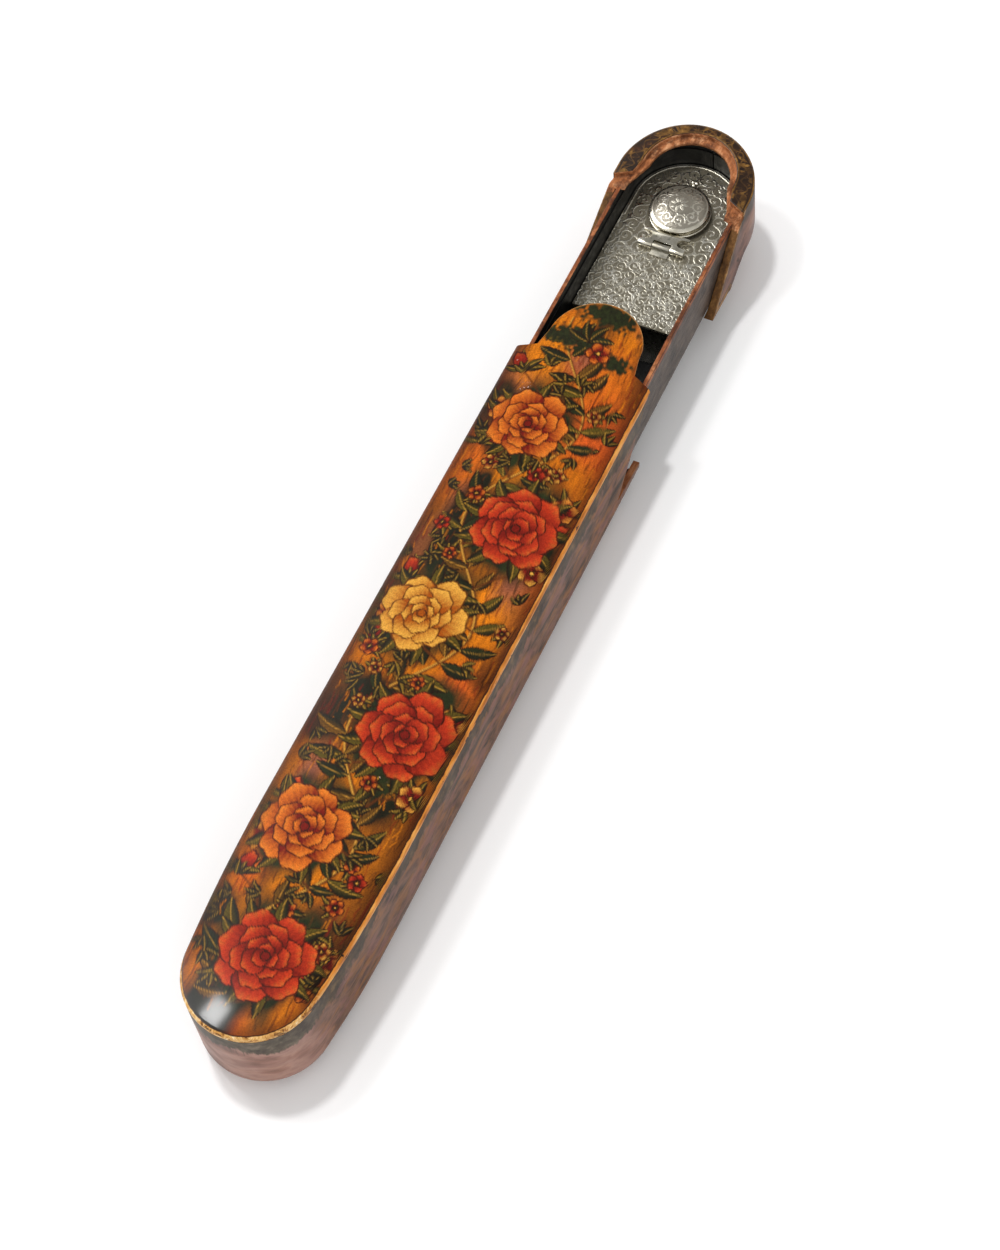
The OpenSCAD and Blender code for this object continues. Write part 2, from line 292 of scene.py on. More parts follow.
class Finish:
    """A material whose nodes are added one call at a time."""

    def __init__(self, name):
        self.material = bpy.data.materials.new(name)
        self.material.use_nodes = True
        self.tree = self.material.node_tree
        self.tree.nodes.clear()
        out = self.tree.nodes.new("ShaderNodeOutputMaterial")
        self.skin = self.tree.nodes.new("ShaderNodeBsdfPrincipled")
        self.tree.links.new(self.skin.outputs[0], out.inputs[0])
        self.where = self.tree.nodes.new("ShaderNodeTexCoord").outputs["Object"]

    def set(self, **values):
        for key, value in values.items():
            feed(self.tree, self.skin.inputs[key.replace("_", " ")], value)

    def stretch(self, x, y, z):
        return add_node(self.tree, "ShaderNodeMapping", Vector=self.where, Scale=(x, y, z)).outputs[0]

    def axis(self, letter):
        """One of the piece's own coordinates, in millimetres."""
        n = add_node(self.tree, "ShaderNodeSeparateXYZ", Vector=self.where)
        return self.times(n.outputs[letter], 1 / MM)

    def noise(self, scale, detail=4.0, rough=0.55, vector=None, bend=0.0):
        n = add_node(self.tree, "ShaderNodeTexNoise", Vector=vector or self.where, Scale=scale,
                     Detail=detail, Roughness=rough, Distortion=bend)
        return n.outputs["Fac"]

    def cells(self, scale, feature="F1", vector=None):
        n = add_node(self.tree, "ShaderNodeTexVoronoi", Vector=vector or self.where, Scale=scale)
        n.feature = feature
        return n.outputs["Distance"]

    def flow(self, along, across, x=1.0, y=1.0):
        """Coordinates along and across a painted face, in millimetres."""
        n = add_node(self.tree, "ShaderNodeCombineXYZ", X=self.times(along, x), Y=self.times(across, y))
        return n.outputs[0]

    def field(self, name, output="Fac"):
        """Values kept on the points of the mesh."""
        n = self.tree.nodes.new("ShaderNodeAttribute")
        n.attribute_name = name
        return n.outputs[output]

    def sum(self, op, *values):
        return add_math(self.tree, "ShaderNodeMath", op, *values).outputs[0]

    def plus(self, a, b):
        return self.sum("ADD", a, b)

    def less(self, a, b):
        return self.sum("SUBTRACT", a, b)

    def times(self, a, b):
        return self.sum("MULTIPLY", a, b)

    def most(self, a, b):
        return self.sum("MAXIMUM", a, b)

    def gap(self, a, b):
        """Distance between two values."""
        return self.sum("ABSOLUTE", self.less(a, b))

    def sway(self, noise, reach):
        """Noise about nought, as wide as the reach."""
        return self.times(self.less(noise, 0.5), reach)

    def band(self, value, start, end, low=0.0, high=1.0):
        """A soft step of a value from its start to its end."""
        n = add_node(self.tree, "ShaderNodeMapRange", Value=value, From_Min=start, From_Max=end,
                     To_Min=low, To_Max=high)
        n.interpolation_type = "SMOOTHSTEP"
        return n.outputs[0]

    def ramp(self, fac, *stops):
        return add_ramp(self.tree, fac, *stops)

    def tones(self, fac, *stops):
        """A ramp of screen colours."""
        return self.ramp(fac, *((at, linear(*colour)) for at, *colour in stops))

    def mix(self, fac, a, b, blend="MIX"):
        n = self.tree.nodes.new("ShaderNodeMix")
        n.data_type = "RGBA"
        n.blend_type = blend
        for at, value in ((0, fac), (6, a), (7, b)):
            feed(self.tree, n.inputs[at], value)
        return n.outputs[2]

    def bump(self, height, strength, depth_mm, onto=None):
        n = add_node(self.tree, "ShaderNodeBump", Height=height, Strength=strength, Distance=depth_mm * MM)
        if onto is not None:
            feed(self.tree, n.inputs["Normal"], onto)
        return n.outputs[0]


# Outline of the sleeve in plan and section

def crown_z(y, drop=0.0):
    return TOP_H - CROWN_R - drop + np.sqrt(CROWN_R ** 2 - np.asarray(y, float) ** 2)


def top_z(x, y):
    """Painted surface: the crown, its rounded edge, and the closed end that falls away a little."""
    fall = END_FALL * np.clip((END_X - x) / END_R, 0, 1) ** 2
    near = np.clip(EDGE_ROUND - rim_distance(x, y), 0, EDGE_ROUND)
    return crown_z(y) - fall - EDGE_ROUND + np.sqrt(EDGE_ROUND ** 2 - near ** 2)


def closed_x(y, inset=0.0):
    """Where the closed end's outline lies, at a place across the sleeve."""
    y = np.abs(np.asarray(y, float))
    r = END_R - inset
    turn = r * math.cos(TAPER_A)
    on_end = END_X - np.sqrt(np.maximum(r ** 2 - np.minimum(y, r) ** 2, 0))
    rise = np.minimum(y + TAPER_R - HALF_W, TAPER_R - inset)
    on_side = TAPER_X - np.sqrt(np.maximum((TAPER_R - inset) ** 2 - rise ** 2, 0))
    return np.where(y <= turn, on_end, on_side)


def mouth_line(y):
    """Where the mouth's edge lies on the top: round tongue, its roots and the slanted shoulders."""
    y = np.abs(np.asarray(y, float))
    round_end = TONGUE_CX + np.sqrt(np.maximum(TONGUE_R ** 2 - np.minimum(y, TONGUE_R) ** 2, 0))
    root_x = MOUTH_X + SHOULDER
    root = TONGUE_CX + (root_x - TONGUE_CX) * (y - TONGUE_R) / (TONGUE_ROOT - TONGUE_R)
    shoulder = root_x - SHOULDER * (y - TONGUE_ROOT) / (HALF_W - TONGUE_ROOT)
    return np.where(y <= TONGUE_R, round_end, np.where(y <= TONGUE_ROOT, root, shoulder))


def rim_distance(x, y):
    """Distance inwards from the long edges and the closed end."""
    y = np.abs(y)
    end = END_R - np.hypot(x - END_X, y)
    side = TAPER_R - np.hypot(x - TAPER_X, y + TAPER_R - HALF_W)
    on_end = (x < END_X) & (y < (END_X - x) / math.tan(TAPER_A))
    return np.where(x > TAPER_X, HALF_W - y, np.where(on_end, end, side))


def notch_x(z):
    """Where a side wall ends, at a height: the lip below the notch and the slope above it."""
    if z >= NOTCH_H:
        return MOUTH_X - NOTCH_L + NOTCH_L * (z - NOTCH_H) / (EDGE_H - NOTCH_H)
    return MOUTH_X - BASE_SET - (NOTCH_L - BASE_SET) * max(0.0, z - LIP_H) / (NOTCH_H - LIP_H)


def foot_rows(foot, z0, n):
    """Insets and heights down a round foot."""
    angles = np.linspace(0, math.pi / 2, n + 1)
    return [(foot * (1 - math.cos(a)), z0 + foot * (1 - math.sin(a))) for a in angles]


STRAIGHT_POINTS = 46


def closed_path(inset, x_end, straight=STRAIGHT_POINTS, side=14, end=44):
    """Plan points from one end of the mouth round the closed end to the other."""
    h = HALF_W - inset
    bend = TAPER_R - inset
    pts = [(x, -h) for x in np.linspace(x_end, TAPER_X, straight, endpoint=False)]
    for a in np.linspace(0, TAPER_A, side, endpoint=False):
        pts.append((TAPER_X - bend * math.sin(a), TAPER_R - HALF_W - bend * math.cos(a)))
    sweep = math.pi / 2 - TAPER_A
    for a in np.linspace(-sweep, sweep, end + 1):
        pts.append((END_X - (END_R - inset) * math.cos(a), (END_R - inset) * math.sin(a)))
    return pts + [(x, -y) for x, y in reversed(pts[:straight + side])]


# The painting on the sleeve's top: flowers of a common garden kind on an amber ground

def lattice_cloud(x, y, cell_x, cell_y, seed):
    """Smooth cloud from 0 to 1."""
    table = np.random.default_rng(seed).random((97, 97))
    u, v = x / cell_x + 40, y / cell_y + 40
    i, j = np.floor(u).astype(int) % 96, np.floor(v).astype(int) % 96
    fu, fv = u - np.floor(u), v - np.floor(v)
    fu, fv = fu * fu * (3 - 2 * fu), fv * fv * (3 - 2 * fv)
    low = table[i, j] * (1 - fu) + table[i + 1, j] * fu
    high = table[i, j + 1] * (1 - fu) + table[i + 1, j + 1] * fu
    return low * (1 - fv) + high * fv


class Panel:
    """Colours laid on the points of the top, one brush shape over another."""

    def __init__(self, x, y):
        self.x, self.y = x, y
        self.rgb = np.zeros((len(x), 3))

    def near(self, x, y, reach):
        return np.flatnonzero((np.abs(self.x - x) < reach) & (np.abs(self.y - y) < reach))

    def lay(self, at, cover, colour):
        cover = np.clip(cover, 0, 1)[:, None]
        self.rgb[at] = self.rgb[at] * (1 - cover) + np.asarray(colour) * cover

    def wash(self, cover, colour):
        """A colour over the whole top."""
        self.lay(slice(None), cover, colour)

    def shape(self, at, outside, colour, ink=0.32, ink_colour=None, soft=0.22):
        """A filled shape with an ink line; outside is the distance out of it."""
        self.lay(at, 0.5 - outside / (2 * soft), colour)
        if ink:
            self.lay(at, (ink - np.abs(outside)) / ink * 1.5, INK if ink_colour is None else ink_colour)

    def local(self, at, x, y, angle):
        c, s = math.cos(angle), math.sin(angle)
        dx, dy = self.x[at] - x, self.y[at] - y
        return dx * c + dy * s, -dx * s + dy * c

    def stroke(self, pts, width, colour, fade=0.25):
        pts = np.asarray(pts, float)
        lo, hi = pts.min(0) - 2, pts.max(0) + 2
        at = np.flatnonzero((self.x > lo[0]) & (self.x < hi[0]) & (self.y > lo[1]) & (self.y < hi[1]))
        if not len(at):
            return
        px, py = self.x[at], self.y[at]
        best = np.full(len(at), 9.0)
        for i, ((ax, ay), (bx, by)) in enumerate(zip(pts[:-1], pts[1:])):
            dx, dy = bx - ax, by - ay
            t = np.clip(((px - ax) * dx + (py - ay) * dy) / max(dx * dx + dy * dy, 1e-9), 0, 1)
            gap = np.hypot(px - ax - t * dx, py - ay - t * dy)
            best = np.minimum(best, gap - width * (1 - 0.55 * i / len(pts)))
        self.lay(at, 0.5 - best / (2 * fade), colour)


INK = linear(34, 18, 8)
AMBER = linear(226, 128, 18)
AMBER_DEEP = linear(164, 78, 12)
UMBER = linear(92, 46, 16)
NIGHT = linear(30, 29, 17)
BOTTLE = linear(44, 50, 24)
OLIVE = linear(112, 92, 28)
RED = linear(200, 58, 26)
RED_DEEP = linear(118, 24, 14)
ORANGE = linear(226, 116, 34)
MAUVE = linear(140, 82, 64)
STRAW = linear(232, 168, 66)


def blend(a, b, t):
    t = np.clip(np.asarray(t, float), 0, 1)[..., None]
    return np.asarray(a) * (1 - t) + np.asarray(b) * t


def paint_leaf(p, x, y, angle, length, width, bend, light=OLIVE, dark=NIGHT):
    at = p.near(*outward(x, y, angle, length / 2), length * 0.75)
    u, v = p.local(at, x, y, angle)
    t = u / length
    v = v - bend * t * (1 - t) * length
    half = width * np.sin(math.pi * np.clip(t, 0, 1)) ** 0.8 * (1.15 - 0.4 * np.clip(t, 0, 1))
    outside = np.where((t > 0) & (t < 1), np.abs(v) - half, 3.0)
    side = np.clip(v / np.maximum(half, 0.05), -1, 1)
    tone = 0.45 + 0.42 * side - 0.25 * t
    veins = np.abs(np.sin(u * 2.6 - np.abs(v) * 3.0))
    colour = blend(dark, light, tone) * (0.72 + 0.4 * veins)[:, None]
    p.shape(at, outside, colour, ink=0.24)
    p.lay(at, np.where(outside < 0, (0.22 - np.abs(v)) * 5, 0), blend(light, STRAW, 0.35))


def paint_petal(p, x, y, angle, length, width, light, dark, rng):
    at = p.near(x, y, max(length, width) * 1.3)
    u, v = p.local(at, x, y, angle)
    wave = 0.06 * np.sin(v / width * 7 + rng.random() * 6)
    r = np.hypot(u / length, v / width) + wave * (u > 0)
    outside = (r - 1) * min(length, width)
    streak = 0.5 + 0.5 * np.sin(np.arctan2(v, u + length * 1.6) * 42 + rng.random() * 6)
    tone = np.clip(0.3 + 0.85 * u / length - 0.22 * streak + 0.3 * v / width, 0, 1.15)
    colour = blend(dark, light, tone)
    glow = np.clip((u / length - 0.55) * 2.2, 0, 1) * (0.35 + 0.65 * streak) * 0.5
    colour = colour * (1 - glow)[:, None] + np.asarray(blend(light, STRAW, 0.55)) * glow[:, None]
    p.shape(at, outside, colour, ink=0.26, ink_colour=blend(INK, dark, 0.25))


# Rings of petals of a rose: their number, and reach, length and width as parts of its size
ROSE_RINGS = ((7, 0.62, 0.46, 0.44), (6, 0.42, 0.36, 0.36), (5, 0.25, 0.27, 0.29), (3, 0.1, 0.2, 0.2))


def paint_rose(p, x, y, size, light, dark, seed):
    rng = np.random.default_rng(seed)
    turn = rng.random() * ANY_TURN
    for ring, (count, reach, long, wide) in enumerate(ROSE_RINGS):
        for k in range(count):
            a = turn + ring * 0.7 + FULL_TURN * k / count + rng.normal() * 0.08
            s = size * (1 + rng.normal() * 0.05)
            paint_petal(p, *outward(x, y, a, reach * s), a, long * s, wide * s, light, dark, rng)
    at = p.near(x, y, size * 0.3)
    p.shape(at, np.hypot(p.x[at] - x, p.y[at] - y) - size * 0.11, dark, ink=0.25)


def paint_blossom(p, x, y, size, light, dark, seed):
    rng = np.random.default_rng(seed)
    turn = rng.random() * ANY_TURN
    for k in range(5):
        a = turn + FULL_TURN * k / 5
        paint_petal(p, *outward(x, y, a, size * 0.52), a, size * 0.48, size * 0.42, light, dark, rng)
    at = p.near(x, y, size * 0.6)
    r = np.hypot(p.x[at] - x, p.y[at] - y)
    p.shape(at, r - size * 0.17, STRAW, ink=0.25)
    for k in range(10):
        dot_x, dot_y = outward(x, y, turn + FULL_TURN * k / 10, size * 0.33)
        d = np.hypot(p.x[at] - dot_x, p.y[at] - dot_y)
        p.lay(at, (0.34 - d) * 4, INK)


def paint_bud(p, x, y, angle, size, light, dark, rng):
    middle = outward(x, y, angle, size * 0.5)
    paint_petal(p, *middle, angle, size * 0.62, size * 0.34, light, dark, rng)
    base = outward(x, y, angle, -size * 0.2)
    for side in (-0.5, 0.0, 0.5):
        paint_leaf(p, *base, angle + side, size * 0.75, size * 0.16, 0)


# Place along the box, place across it, size and colours of each rose
ROSES = [
    (-79, -1.5, 10.6, RED, RED_DEEP), (-46, 5.4, 10.4, ORANGE, RED_DEEP),
    (-15, -5.6, 11.2, RED, RED_DEEP), (17, 5.6, 10.4, STRAW, AMBER_DEEP),
    (48, -5.4, 10.8, RED, RED_DEEP), (78, 5.2, 9.6, ORANGE, RED_DEEP),
]
VINE_SWING, VINE_START, VINE_WAVE = 8.2, -96, 64


def vine_y(x):
    return VINE_SWING * np.sin(2 * math.pi * (x - VINE_START) / VINE_WAVE)


def vine_slope(x):
    rise = VINE_SWING * 2 * math.pi / VINE_WAVE
    return math.atan(rise * math.cos(2 * math.pi * (x - VINE_START) / VINE_WAVE))


def paint_top(x, y):
    p = Panel(x, y)
    drift = lattice_cloud(x, y, 26, 9, 1)
    fine = lattice_cloud(x, y, 7, 1.1, 2)
    p.rgb[:] = blend(AMBER_DEEP, AMBER, 0.25 + 0.75 * drift + 0.3 * (fine - 0.5))
    p.wash((lattice_cloud(x, y, 20, 12, 3) - 0.55) * 2.2, blend(RED, ORANGE, 0.4))
    p.wash((lattice_cloud(x, y, 17, 11, 4) - 0.62) * 2.6, MAUVE)
    p.wash((lattice_cloud(x + 7, y, 13, 8, 5) - 0.5) * 3.8, NIGHT)
    p.wash(np.clip((np.abs(y) - 13) / 9, 0, 0.55) * (0.4 + drift), UMBER)
    grain = lattice_cloud(x, y, 2.4, 0.5, 6)
    p.rgb *= (0.8 + 0.36 * grain)[:, None]
    rng = np.random.default_rng(11)
    # Hatching of the ground, along the box
    for _ in range(1300):
        hx, hy = rng.uniform(-96, 112), rng.uniform(-18, 18)
        size = rng.uniform(2.0, 6.0)
        bow = rng.normal() * 0.5
        tone = (UMBER, INK, RED_DEEP, AMBER, UMBER)[int(rng.integers(5))]
        p.stroke([(hx, hy), (hx + size / 2, hy + bow), (hx + size, hy + bow * 0.4)], 0.08, tone, 0.22)
    # Dark masses behind the flowers
    for cx, cy, size, _, _ in ROSES:
        at = p.near(cx, cy, size * 2.2)
        d = np.hypot((p.x[at] - cx) / 1.35, p.y[at] - cy) - size * 1.05
        d += 5.0 * (lattice_cloud(p.x[at], p.y[at], 5, 4, 8) - 0.5)
        p.lay(at, (0.62 - d / 4.6) * 0.96, blend(NIGHT, BOTTLE, lattice_cloud(p.x[at], p.y[at], 3, 2, 9)))
    xs = np.linspace(-86, 113, 240)
    p.stroke(np.c_[xs, vine_y(xs)], 0.62, UMBER)
    p.stroke(np.c_[xs, vine_y(xs) + 0.25], 0.2, STRAW)
    # Leaves in pairs along the stem, and sprays that reach the edges
    for cx in np.arange(-92, 110, 5.2):
        cy = float(vine_y(cx))
        slope = vine_slope(cx)
        for side in (-1, 1):
            a = slope + side * (0.75 + 0.35 * rng.random())
            size = 6.5 + 3.5 * rng.random()
            light = (OLIVE, BOTTLE, linear(132, 86, 26))[int(rng.integers(3))]
            paint_leaf(p, cx + rng.normal(), cy, a, size, size * 0.2, side * 0.25, light)
    for k, cx in enumerate(np.arange(-84, 100, 11.0)):
        side = 1 if vine_y(cx) < 0 else -1
        cy = side * (13.2 + 1.6 * rng.random())
        bx, by = cx + rng.normal() * 1.5, cy
        p.stroke([(cx - 9, float(vine_y(cx - 9))), (cx - 4, cy * 0.5), (bx, by)], 0.3, UMBER)
        for turn in (-1.2, -0.45, 0.5, 1.3):
            paint_leaf(p, bx, by, turn + rng.normal() * 0.2, 5 + 2 * rng.random(), 1.1, 0.2 * side)
        if k % 2:
            paint_blossom(p, bx, by, 3.7, blend(STRAW, ORANGE, rng.random()), RED_DEEP, 40 + k)
        else:
            paint_bud(p, bx, by, rng.random() * 2 - 1, 5.4, RED, RED_DEEP, rng)
    # Filler sprigs and small flowers where there is room
    for k in range(150):
        fx, fy = rng.uniform(-94, 98), rng.uniform(-17.2, 17.2)
        room = min(np.hypot(fx - cx, fy - cy) - size for cx, cy, size, _, _ in ROSES)
        if rim_distance(np.array(fx), np.array(fy)) < 2.2 or room < 1.5:
            continue
        turn = rng.random() * ANY_TURN
        for spread in (-0.7, 0.0, 0.7):
            paint_leaf(p, fx, fy, turn + spread, rng.uniform(2.8, 4.6), 0.75, 0.2, (OLIVE, BOTTLE)[k % 2])
        if k % 4 == 0:
            paint_blossom(p, fx, fy, rng.uniform(1.7, 2.5), (STRAW, ORANGE, RED)[k % 3], RED_DEEP, 200 + k)
    for k, (cx, cy, size, light, dark) in enumerate(ROSES):
        for a in np.linspace(0, ANY_TURN, 9, endpoint=False):
            foot = outward(cx, cy, a, size * 0.7)
            paint_leaf(p, *foot, a + rng.normal() * 0.2, size * 0.75, size * 0.15, 0.25)
        paint_rose(p, cx, cy, size, light, dark, 70 + k)
    # Dark growth on the tongue
    for cx, cy, wide, deep in ((116.6, -1.0, 9.6, 3.6), (107, 6.0, 7.0, 3.4), (103, -8.0, 4.0, 2.4)):
        at = p.near(cx, cy, 11)
        d = np.hypot((p.x[at] - cx) / deep, (p.y[at] - cy) / wide) - 1
        d += 0.9 * (lattice_cloud(p.x[at], p.y[at], 1.0, 0.8, 12) - 0.5)
        p.lay(at, 0.5 - d * 2.4, blend(NIGHT, BOTTLE, lattice_cloud(p.x[at], p.y[at], 0.8, 0.6, 13)))
    for a in (-1.3, -0.5, 0.4, 1.2):
        paint_leaf(p, 107, 1.5, a, 7.0, 1.3, 0.3, BOTTLE)
    paint_blossom(p, 104.5, -2.5, 3.4, ORANGE, RED_DEEP, 91)
    # Thin light edge round the tongue
    lip = mouth_line(y) - x
    p.wash(np.where(np.abs(y) < TONGUE_ROOT, (0.4 - lip) * 4, 0), linear(196, 140, 80))
    return p.rgb


# Sleeve

# A distance from the rim that no finish reaches, in mm
FAR_OFF = 9.0


def arc_places():
    """Places across the top, closer together where its outlines turn."""
    places = set(np.round(np.linspace(-HALF_W, HALF_W, 120), 4))
    for a in np.radians(np.linspace(0, 90, 7)):
        edge = round(HALF_W - EDGE_ROUND * (1 - math.sin(a)), 4)
        places.update((edge, -edge))
    turns = ((TONGUE_R, np.linspace(62, 90, 12)), (END_R * math.cos(TAPER_A), np.linspace(66, 90, 10)))
    for r, spots in turns:
        for a in np.radians(spots):
            places.update((round(r * math.sin(a), 4), round(-r * math.sin(a), 4)))
    for y in (TONGUE_ROOT, TONGUE_R):
        places.update((y, -y))
    kept = []
    must = {HALF_W, -HALF_W, TONGUE_ROOT, -TONGUE_ROOT, TONGUE_R, -TONGUE_R}
    for y in sorted(places):
        if kept and y - kept[-1] < 0.06 and y not in must:
            continue
        kept.append(y)
    return np.array(kept)


def make_sleeve_top(cols=570, coarse=12):
    """The painted top wall with its tongue, closed below by a coarser underside."""
    rows = arc_places()
    n = len(rows)
    t = np.r_[0, 0.00006, 0.0003, 0.0008, 0.0015, np.linspace(0.0025, 1, cols - 5)]
    lo, hi = closed_x(rows), mouth_line(rows)
    x = lo[:, None] + (hi - lo)[:, None] * t
    y = np.repeat(rows[:, None], cols, 1)
    z = top_z(x, y)
    verts = [np.c_[x.ravel(), y.ravel(), z.ravel()]]
    grid = np.arange(n * cols).reshape(n, cols)
    faces = sheet(grid).tolist()
    # Underside: fewer rows, the same columns, set in by the wall
    pick = np.unique(np.r_[np.arange(0, n, coarse), n - 1])
    squeeze = (HALF_W - WALL) / HALF_W
    iy = rows[pick] * squeeze
    ilo = closed_x(iy, WALL)
    ihi = mouth_line(np.clip(rows[pick], -HALF_W, HALF_W))
    ux = ilo[:, None] + (ihi - ilo)[:, None] * t
    uy = np.repeat(iy[:, None], cols, 1)
    uy[:, -1] = rows[pick] * np.where(np.abs(rows[pick]) > TONGUE_ROOT, squeeze, 1)
    uz = crown_z(uy, WALL) - END_FALL * np.clip((END_X - ux) / END_R, 0, 1) ** 2
    under = np.arange(len(pick) * cols).reshape(len(pick), cols) + n * cols
    verts.append(np.c_[ux.ravel(), uy.ravel(), uz.ravel()])
    faces += sheet(under)[:, [0, 3, 2, 1]].tolist()
    faces += strip(grid[0], under[0]) + strip(under[-1], grid[-1])
    for k in range(len(pick) - 1):
        between = list(range(pick[k], pick[k + 1] + 1))
        faces.append([grid[i, 0] for i in between] + [under[k + 1, 0], under[k, 0]])
        faces.append([grid[i, -1] for i in reversed(between)] + [under[k, -1], under[k + 1, -1]])
    piece = new_piece("sleeve_top", np.vstack(verts), faces)
    tx, ty = x.ravel(), y.ravel()
    extra = len(piece.data.vertices) - len(tx)
    bare = np.tile(linear(60, 34, 18), (extra, 1))
    put_colours(piece.data, "paint", np.vstack([paint_top(tx, ty), bare]))
    put_floats(piece.data, "rim", np.r_[rim_distance(tx, ty), np.full(extra, FAR_OFF)])
    settle(piece, 32)
    # Painted face, cut edges and underside
    for f in piece.data.polygons:
        f.material_index = 0 if f.normal.z > 0.05 else (1 if f.normal.z > -0.6 else 2)
    return piece


def make_sleeve_walls():
    """Side walls, closed end and bottom: an outer and an inner skin, joined at the edges."""
    brink = EDGE_H - EDGE_ROUND
    roof_in = float(crown_z(HALF_W - WALL, WALL))
    outer_rows, inner_rows = ([(d, z) for z in np.r_[np.linspace(top, NOTCH_H, 16), LIP_H]]
                              for d, top in ((0.0, brink), (WALL, roof_in)))
    outer_rows += foot_rows(FOOT_R, 0.0, 14)
    inner_rows += [(WALL + d, z) for d, z in foot_rows(FOOT_R - WALL, WALL, 14)]
    ring = np.array(closed_path(0.0, MOUTH_X))
    length = np.r_[0.0, np.cumsum(np.hypot(*np.diff(ring, axis=0).T))]
    verts, skins, below, around = [], [], [], []
    for rows in (outer_rows, inner_rows):
        grid = []
        run, last = 0.0, None
        for d, z in rows:
            run += 0.0 if last is None else math.hypot(d - last[0], z - last[1])
            last = (d, z)
            pts = np.array(closed_path(d, notch_x(z)))
            if rows is outer_rows and z < FOOT_R:
                # The closed end stands on a tighter foot than the sides
                low = max(NEAR_FOOT - z, 0.0)
                inset = NEAR_FOOT - math.sqrt(NEAR_FOOT ** 2 - low ** 2)
                tight = np.array(closed_path(inset, notch_x(z)))
                share = np.clip((TAPER_X - pts[:, :1]) / NEAR_FOOT_RUN, 0, 1)
                pts += (tight - pts) * share * share * (3 - 2 * share)
            reach = length.copy()
            reach[:STRAIGHT_POINTS] = MOUTH_X - pts[:STRAIGHT_POINTS, 0]
            reach[-STRAIGHT_POINTS:] = length[-1] - MOUTH_X + pts[-STRAIGHT_POINTS:, 0]
            around += reach.tolist()
            grid.append(list(range(len(verts), len(verts) + len(pts))))
            for px, py in pts:
                if d == 0:
                    edge_x = float(closed_x(min(abs(py), HALF_W))) + 1e-6
                    roof = float(top_z(min(max(px, edge_x), MOUTH_X), py))
                else:
                    fall = END_FALL * max(0, (END_X - px) / END_R) ** 2
                    roof = float(crown_z(py, WALL) - fall)
                share = max(0.0, (z - FOOT_R) / (rows[0][1] - FOOT_R))
                verts.append((px, py, z + share ** 2 * (roof - rows[0][1])))
            below += [run] * len(pts)
        skins.append(grid)
    outer, inner = skins
    faces = skin_strips(outer, inner)
    for skin, flip in ((outer[-1], False), (inner[-1], True)):
        n = len(skin)
        for i in range(n // 2 - 1):
            quad = (skin[i], skin[i + 1], skin[n - 2 - i], skin[n - 1 - i])
            faces.append(quad[::-1] if flip else quad)
        m = n // 2
        faces.append((skin[m - 1], skin[m], skin[m + 1]))
    faces += strip(inner[0], outer[0])
    for i in range(len(outer) - 1):
        faces.append((outer[i][0], outer[i + 1][0], inner[i + 1][0], inner[i][0]))
        faces.append((outer[i + 1][-1], outer[i][-1], inner[i][-1], inner[i + 1][-1]))
    faces.append((outer[-1][0], outer[-1][-1], inner[-1][-1], inner[-1][0]))
    piece = new_piece("sleeve_walls", verts, faces)
    put_floats(piece.data, "below", below)
    put_floats(piece.data, "around", around)
    outside = len(outer) * len(outer[0])
    put_floats(piece.data, "inside", [0.0] * outside + [1.0] * (len(verts) - outside))
    with edited(piece.data) as bm:
        bmesh.ops.recalc_face_normals(bm, faces=bm.faces)
        layer = bm.verts.layers.float["inside"]
        for f in bm.faces:
            marks = [v[layer] for v in f.verts]
            f.material_index = 0 if max(marks) < 0.5 else (2 if min(marks) > 0.5 else 1)
    return smooth(piece, 38)


# Tray

def tray_path(inset, straight=52, side=12, end=36):
    """Closed plan loop of the trough: its near end, both sides and the round far end."""
    near = [(x + DRAWN, y) for x, y in closed_path(inset, TAPER_X + 0.01, 1, side, end)]
    h = HALF_W - inset
    right = [(x, h) for x in np.linspace(TAPER_X + DRAWN, FAR_CX, straight, endpoint=False)][1:]
    far = [outward(FAR_CX, 0.0, a, h) for a in np.linspace(math.pi / 2, -math.pi / 2, end + 1)]
    left = [(x, -y) for x, y in reversed(right)]
    return near + right + far + left


def make_trough():
    """Thin trough with a bare rim: an outer and an inner skin, joined at the rim."""
    z0 = TROUGH_LO[2]
    rim = TROUGH_HI[2]
    soft = 0.25
    verts, skins = [], []
    # Each skin: where its face lies, and the way from it into the wall
    for face, way in ((0.0, 1), (TROUGH_T, -1)):
        rows = [(face + way * soft, rim), (face + way * soft * 0.3, rim - soft * 0.3), (face, rim - soft)]
        rows += [(face, z) for z in np.linspace(rim - RIM_H, z0 + TROUGH_R, 8, endpoint=False)]
        rows += [(face + d, z) for d, z in foot_rows(TROUGH_R - face, z0 + face, 14)]
        grid = []
        for d, z in rows:
            pts = tray_path(TROUGH_IN + d)
            grid.append(list(range(len(verts), len(verts) + len(pts))))
            for px, py in pts:
                # Under the head's ledge the rim is a little lower
                low = min(max((px - (HEAD_X - MOUTH_GAP)) / 0.4, 0), 1) * 0.7
                lift = max(0.0, (z - (rim - 8)) / 8)
                verts.append((px, py, z - low * lift))
        skins.append(grid)
    outer, inner = skins
    faces = skin_strips(outer, inner, True) + strip(inner[0], outer[0], True)
    faces.append(tuple(outer[-1]))
    faces.append(tuple(reversed(inner[-1])))
    piece = settle(new_piece("trough", verts, faces), 50)
    for f in piece.data.polygons:
        c = f.center / MM
        if f.normal.z > 0.45 and c.z > rim - 2:
            f.material_index = 1
        else:
            lean = f.normal.y * c.y + f.normal.x * max(c.x - FAR_CX, 0.0)
            inside = f.normal.z > 0.05 or lean < 0
            f.material_index = 2 if inside else (1 if c.z > rim - RIM_H else 0)
    return piece


